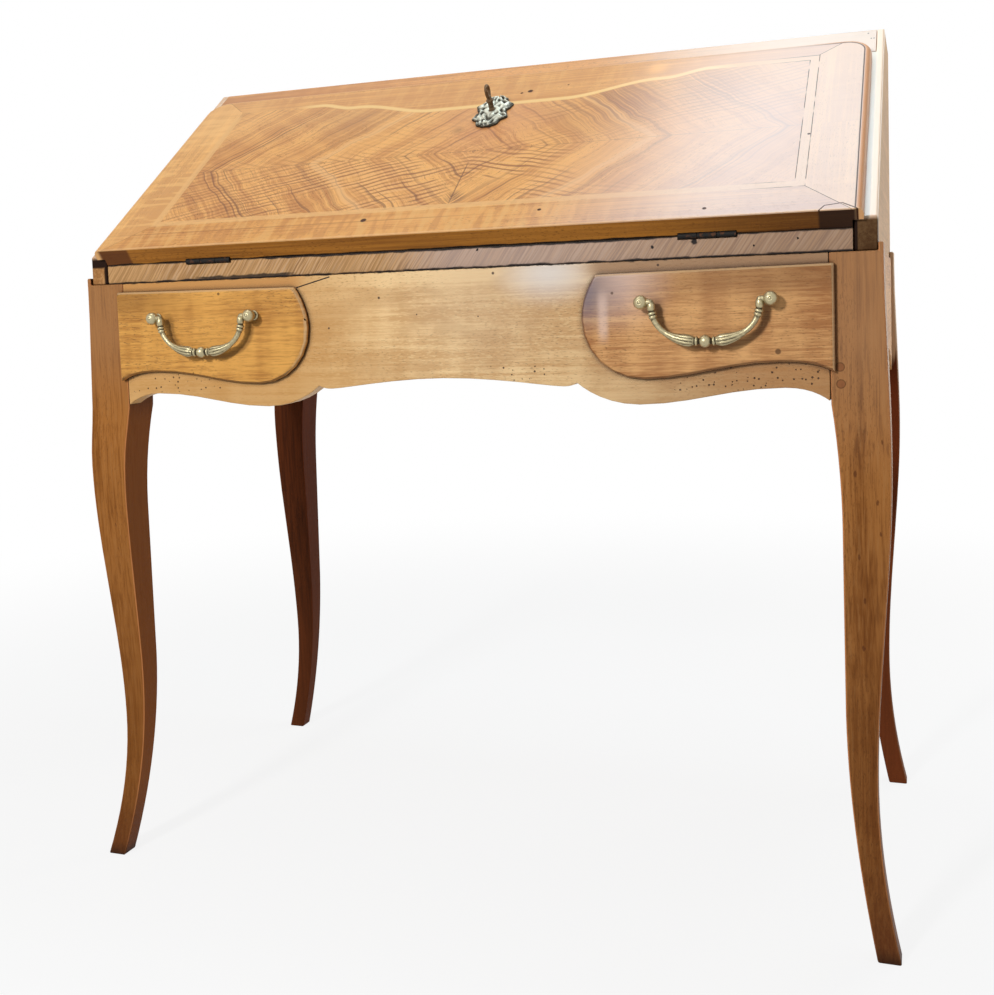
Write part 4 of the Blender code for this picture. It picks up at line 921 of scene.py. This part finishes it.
def turned(node, finish, profile, place):
    """A shape turned about a line from front to back; the profile gives radius, distance and wear."""
    bm = bmesh.new()
    worn = bm.verts.layers.float.new("worn")
    verts = []
    for radius, run, wear in profile:
        vert = bm.verts.new(place + Vector((radius, run, 0)))
        vert[worn] = wear
        verts.append(vert)
    edges = [bm.edges.new(pair) for pair in zip(verts, verts[1:])]
    spun(bm, verts, edges, place, (0, 1, 0), ROUND_STEPS)
    return piece_from(node + "_turned", bm, finish, node)


def ball_profile(radius, start, stop, centre, count=14):
    """Part of a round ball's profile, from one angle to another off the axis."""
    points = []
    for step in range(count + 1):
        angle = radians(start + (stop - start) * step / count)
        points.append((radius * sin(angle), centre - radius * cos(angle), BALL_WEAR))
    return points


def post(node, face, brass):
    """A handle's post: a ball with a riveted end, a neck, a collar against the drawer and a tail into it."""
    place, radius, depth = turned_room(node)
    stand = face - place.y
    profile = [(0, 0.0004, 0.6), (0.0011, 0.0004, 0.7), (0.0014, 0.0007, 0.1)]
    profile += ball_profile(radius, 16, 148, radius)
    profile += [
        (radius * 0.50, stand - 0.0026, 0.2), (radius * 0.72, stand - 0.0022, 0.7),
        (radius * 0.80, stand - 0.0012, 0.8), (radius * 0.80, stand - 0.0004, 0.3),
        (radius * 0.42, stand - 0.0004, 0.1), (radius * 0.42, depth, 0.1), (0, depth, 0.1)]
    return turned(node, brass, profile, place)


def knob(node, brass):
    """A small drawer's turned knob."""
    place, radius, depth = turned_room(node)
    profile = [
        (0, 0, 0.9), (radius * 0.30, 0.0001, 0.9), (radius * 0.36, 0.0007, 0.2), (radius * 0.60, 0.0008, 0.8),
        (radius * 0.90, 0.0026, 0.9), (radius, 0.0048, 0.9), (radius * 0.86, 0.0068, 0.7),
        (radius * 0.50, 0.0086, 0.3), (radius * 0.40, 0.0100, 0.2), (radius * 0.40, depth, 0.2),
        (0, depth, 0.2)]
    return turned(node, brass, profile, place)


# Lock plate and key, in the flap's own frame: x across, y up the slope, z out of it

PLATE_HALF_WIDTH = 0.0230
PLATE_HALF_HEIGHT = 0.0355
PLATE_RELIEF = 0.0044
PLATE_WEAR = 0.95
PLATE_EDGE = 0.0010
PLATE_GAP = 0.0003
PLATE_CELLS = (56, 88)
PLATE_KNOTS = (
    (-1, 0.26), (-0.84, 0.58), (-0.66, 0.62), (-0.42, 0.96), (-0.18, 0.84), (0.0, 0.74),
    (0.18, 0.90), (0.40, 1.0), (0.62, 0.64), (0.82, 0.56), (1, 0.22))
PLATE_LOBES = ((0.66, 0.42, 0.26), (0.64, -0.44, 0.26), (0.0, 0.74, 0.20), (0.0, -0.76, 0.20))
KEYHOLE = 0.0042
KEYHOLE_MOUTH = 1.1
KEYHOLE_RIM = 2.2
RIM_RELIEF = 0.75


def plate_width(up):
    """Half width of the lock plate, as a share, at a share of its half height."""
    for (low, first), (high, last) in zip(PLATE_KNOTS, PLATE_KNOTS[1:]):
        if up <= high:
            share = (up - low) / (high - low)
            return first + (last - first) * (1 - cos(pi * share)) / 2
    return PLATE_KNOTS[-1][1]


def plate_relief(side, up):
    """Height of the cast scrolls, 0 to 1; side and up run from -1 to 1 and the halves don't quite match."""
    across = abs(side)
    curl = sin(11 * across + 6 * up + 1.5 * sin(7 * up + 2 * side)) * cos(10 * up - 6 * across + 2 * side)
    lobes = 0
    for middle, height, reach in PLATE_LOBES:
        gap = sqrt(((across - middle) * 0.62) ** 2 + (up - height) ** 2)
        lobes = max(lobes, exp(-(gap / reach) ** 2) * (0.7 + 0.3 * cos(34 * gap)))
    edge = 1 - across ** 8
    return max(0, min(1, 0.34 + 0.42 * curl + 0.42 * lobes)) * (0.35 + 0.65 * edge)


def lock_plate(steel):
    """A cast plate of scrolls round the keyhole, closed behind."""
    low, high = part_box("escutcheon")
    middle = FLAP_FRAME.inverted() @ ((low + high) / 2)
    seat = FLAP_THICKNESS + PLATE_GAP
    bm = bmesh.new()
    worn = bm.verts.layers.float.new("worn")
    bmesh.ops.create_grid(bm, x_segments=PLATE_CELLS[0], y_segments=PLATE_CELLS[1], size=1)
    for vert in bm.verts:
        side, up = vert.co.x, vert.co.y
        x = side * plate_width(up) * PLATE_HALF_WIDTH
        y = up * PLATE_HALF_HEIGHT
        relief = plate_relief(side, up)
        hole = sqrt(x * x + y * y) / KEYHOLE
        if hole < KEYHOLE_RIM:
            relief = RIM_RELIEF if hole > KEYHOLE_MOUTH else 0.0
        vert[worn] = PLATE_WEAR * relief
        vert.co = Vector((x, y + middle.y, seat + PLATE_EDGE + PLATE_RELIEF * relief))
    rim = [edge for edge in bm.edges if edge.is_boundary]
    skirt = bmesh.ops.extrude_edge_only(bm, edges=rim)["geom"]
    for vert in (part for part in skirt if isinstance(part, bmesh.types.BMVert)):
        vert.co.z = seat
        vert[worn] = 0
    bmesh.ops.holes_fill(bm, edges=[edge for edge in bm.edges if edge.is_boundary])
    bm.transform(FLAP_FRAME)
    return piece_from("escutcheon_cast", bm, steel, "escutcheon")


KEY_BOW = 0.0068
KEY_BOW_NARROW = 0.80
KEY_WIRE = 0.0018
KEY_TOP = FLAP_THICKNESS + 0.0365
KEY_WEAR = 0.25
KEY_STEPS = 28
BOW_STEPS = 44
WIRE_SIDES = 14


def key(steel):
    """A barrel key with turned collars and an oval ring for a bow, standing in the lock."""
    centre = KEY_TOP - KEY_BOW - KEY_WIRE
    bow_foot = centre - KEY_BOW
    profile = (
        (0, 0.0072), (0.0026, 0.0072), (0.0026, 0.0230), (0.0034, 0.0234), (0.0040, 0.0246),
        (0.0034, 0.0260), (0.0032, 0.0268), (0.0032, 0.0350), (0.0038, 0.0355), (0.0043, 0.0369),
        (0.0036, 0.0383), (0.0030, 0.0395), (0.0026, bow_foot + 0.0006), (0, bow_foot + 0.0010))
    bm = bmesh.new()
    verts = [bm.verts.new((radius, 0, run)) for radius, run in profile]
    edges = [bm.edges.new(pair) for pair in zip(verts, verts[1:])]
    spun(bm, verts, edges, (0, 0, 0), (0, 0, 1), KEY_STEPS)
    place = Matrix.Translation((0, KEY_BOW, centre))
    ring = bmesh.ops.create_circle(bm, segments=WIRE_SIDES, radius=KEY_WIRE, matrix=place)["verts"]
    loop = [edge for edge in bm.edges if edge.verts[0] in ring]
    spun(bm, ring, loop, (0, 0, centre), (1, 0, 0), BOW_STEPS)
    bow = [vert for vert in bm.verts if vert.co.z > bow_foot + 0.0012]
    bmesh.ops.scale(bm, vec=(1, KEY_BOW_NARROW, 1), verts=bow)
    worn = bm.verts.layers.float.new("worn")
    for vert in bm.verts:
        vert[worn] = KEY_WEAR
    foot = FLAP_FRAME.inverted() @ KEY_PLACE
    bm.transform(FLAP_FRAME @ Matrix.Translation((foot.x, foot.y, 0)))
    return piece_from("key_turned", bm, steel, "key")


# Light, floor and camera

CAMERA_PLACE = (0.47525, -1.19770, 0.65343)
CAMERA_TURN = (radians(85.497), radians(2.0763), radians(19.759))
PHOTO_SIZE = 994
FOCAL_LENGTH = 1222.912
PRINCIPAL_POINT = (480.096, 393.833)
PHOTO_MIDDLE = (497, 497.5)
SEEN_RAYS = ("Is Camera Ray", "Is Glossy Ray", "Is Transmission Ray")
ROOM_LIGHT = 0.17
FLOOR_REACH = 3.2
FLOOR_FADE = (0.7, FLOOR_REACH * 0.7)
FLOOR_GLOW = 0.86
FLOOR_SIDES = 96
FLOOR_COLOUR = (0.82, 0.82, 0.82, 1)


def camera():
    lens = bpy.data.cameras.new("camera")
    lens.sensor_fit = "HORIZONTAL"
    lens.lens = lens.sensor_width * FOCAL_LENGTH / PHOTO_SIZE
    lens.shift_x = (PHOTO_MIDDLE[0] - PRINCIPAL_POINT[0]) / PHOTO_SIZE
    lens.shift_y = (PRINCIPAL_POINT[1] - PHOTO_MIDDLE[1]) / PHOTO_SIZE
    stand = bpy.data.objects.new("camera", lens)
    stand.location = Vector(CAMERA_PLACE) + Vector((0, FRONT, 0))
    stand.rotation_euler = CAMERA_TURN
    COLLECTION.objects.link(stand)
    bpy.context.scene.camera = stand


def lamp(name, place, target, size, power, colour=(1, 1, 1)):
    light = bpy.data.lights.new(name, "AREA")
    light.color = colour
    light.shape = "RECTANGLE"
    light.size, light.size_y = size
    light.energy = power
    stand = bpy.data.objects.new(name, light)
    stand.location = place
    stand.rotation_euler = (Vector(target) - Vector(place)).to_track_quat("-Z", "Y").to_euler()
    COLLECTION.objects.link(stand)


def surroundings():
    """White behind the desk and in its reflections, and a softer light from all round that falls on it."""
    world = bpy.data.worlds.new("studio")
    bpy.context.scene.world = world
    world.use_nodes = True
    tree = world.node_tree
    glow = tree.nodes["Background"]
    glow.inputs["Color"].default_value = (1, 1, 1, 1)
    path = tree.nodes.new("ShaderNodeLightPath")
    strength = tree.nodes.new("ShaderNodeMapRange")
    strength.inputs["To Min"].default_value = ROOM_LIGHT
    strength.inputs["To Max"].default_value = 1.0
    seen = path.outputs[SEEN_RAYS[0]]
    for ray in SEEN_RAYS[1:]:
        either = tree.nodes.new("ShaderNodeMath")
        either.operation = "MAXIMUM"
        tree.links.new(seen, either.inputs[0])
        tree.links.new(path.outputs[ray], either.inputs[1])
        seen = either.outputs[0]
    tree.links.new(seen, strength.inputs["Value"])
    tree.links.new(strength.outputs["Result"], glow.inputs["Strength"])


def floor():
    """A white floor that shows the desk's shadow faintly and fades away before its edge."""
    bm = bmesh.new()
    bmesh.ops.create_circle(bm, cap_ends=True, segments=FLOOR_SIDES, radius=FLOOR_REACH)
    mesh = bpy.data.meshes.new("floor")
    bm.to_mesh(mesh)
    bm.free()
    finish = Finish("white_floor")
    finish.colour = FLOOR_COLOUR
    finish.dress(1.0, gloss=0.0)
    away = finish.smooth(finish.distance(finish.place, (0, 0, 0)), *FLOOR_FADE)
    rays = [finish.node("ShaderNodeLightPath", output=ray) for ray in SEEN_RAYS]
    share = rays[0].most(rays[1]).most(rays[2]) * finish.choose(away, FLOOR_GLOW, 1.0)
    glow = finish.node("ShaderNodeEmission", {}, {"Strength": 1.0})
    matt = Value(finish, finish.shader.outputs[0])
    whole = finish.node("ShaderNodeMixShader", {}, {0: share, 1: matt, 2: glow})
    finish.tree.links.new(whole.socket, finish.tree.nodes["Material Output"].inputs["Surface"])
    mesh.materials.append(finish.material)
    sheet = bpy.data.objects.new("floor", mesh)
    COLLECTION.objects.link(sheet)


def studio():
    bpy.context.scene.view_settings.view_transform = "Standard"
    camera()
    surroundings()
    floor()
    desk = (0.0, FRONT + 0.1, 0.6)
    lamp("key", (-0.62, FRONT - 2.05, 1.50), desk, (0.26, 0.26), 32)
    lamp("ceiling", (-0.50, -0.15, 2.3), (-0.10, FRONT + 0.15, 0.80), (0.8, 0.6), 5)
    lamp("rim", (1.15, 1.30, 0.95), (0.44, 0.0, 0.70), (0.8, 1.3), 7.5, (1.0, 0.90, 0.78))
    lamp("window", (0.41, 0.25, 2.0), (0.37, FRONT + 0.06, 0.80), (0.92, 0.58), 11.8, (0.71, 0.88, 1.0))


def woodwork():
    apron = apron_wood()
    legs = leg_wood()
    rear = rear_wood()
    sides = side_wood()
    top = top_wood()
    ends = board("side_apron_wood", along_y, tone(228, 172, 112), tone(186, 130, 80), 39.0, 0.1, 0.5, 0.1)
    bed = board("bed_wood", along_x, tone(176, 120, 68), tone(126, 78, 40), 41.0)
    within = board("gallery_wood", along_x, tone(198, 156, 104), tone(158, 116, 70), 43.0, 0.05, 0.6)
    runs = board("drawer_lining", along_y, tone(198, 158, 108), tone(160, 120, 74), 47.0, 0.05, 0.65)
    left = drawer_wood(
        "left", tone(226, 166, 84), tone(174, 115, 52), 53.0, 0.0, 0.27,
        ((-0.262, 0.668, 0.0020), (-0.300, 0.580, 0.0012)))
    right = drawer_wood(
        "right", tone(228, 174, 114), tone(174, 116, 68), 59.0, 0.85, 0.18,
        ((0.347, 0.592, 0.0034), (0.187, 0.653, 0.0018)))
    eased("front_apron", apron, APRON_EASED)
    eased("flap_panel", flap_veneer(), FLAP_EASED)
    eased("front_rail", rail_veneer(), CASE_EASED)
    eased("top_board", top)
    eased("writing_bed", bed)
    eased("back_apron", board("back_apron_wood", along_x, tone(160, 106, 62), tone(112, 68, 36), 61.0))
    eased("back_panel", within)
    for hand, front in (("left", left), ("right", right)):
        eased("leg_front_" + hand, legs, LEG_EASED)
        eased("leg_rear_" + hand, rear, LEG_EASED)
        eased("case_side_" + hand, sides, CASE_EASED)
        eased("side_apron_" + hand, ends)
        eased(hand + "_drawer_front", front, DRAWER_EASED)
        eased(hand + "_small_drawer_front", bed)
        eased(hand + "_small_drawer_tray", runs)
        for part in ("left_side", "right_side", "back", "bottom", "inner_runner", "outer_runner"):
            eased(hand + "_drawer_" + part, runs)
        for level in ("lower", "upper"):
            eased("gallery_" + level + "_divider_" + hand, within)
    eased("gallery_shelf", within)
    eased("gallery_top", within)


def metalwork():
    brass = metal("aged_brass", tone(182, 170, 134), tone(58, 48, 32), 0.36, 0.85)
    plate = metal("cast_plate", tone(204, 202, 184), tone(62, 58, 46), 0.45, 0.6)
    steel = metal("key_steel", tone(186, 160, 128), tone(92, 70, 48), 0.40, 0.7)
    black = iron()
    for hand in ("left", "right"):
        bail(hand + "_bail", brass)
        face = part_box(hand + "_drawer_front")[0].y
        for side in ("left", "right"):
            post(hand + "_handle_" + side + "_post", face, brass)
        knob(hand + "_small_drawer_knob", brass)
        for part in ("lower_leaf", "upper_leaf", "pin"):
            paint(hand + "_hinge_" + part, black)
    lock_plate(plate)
    key(steel)
    paint("lock_case", black)
    paint("lock_bolt", black)


woodwork()
metalwork()
studio()
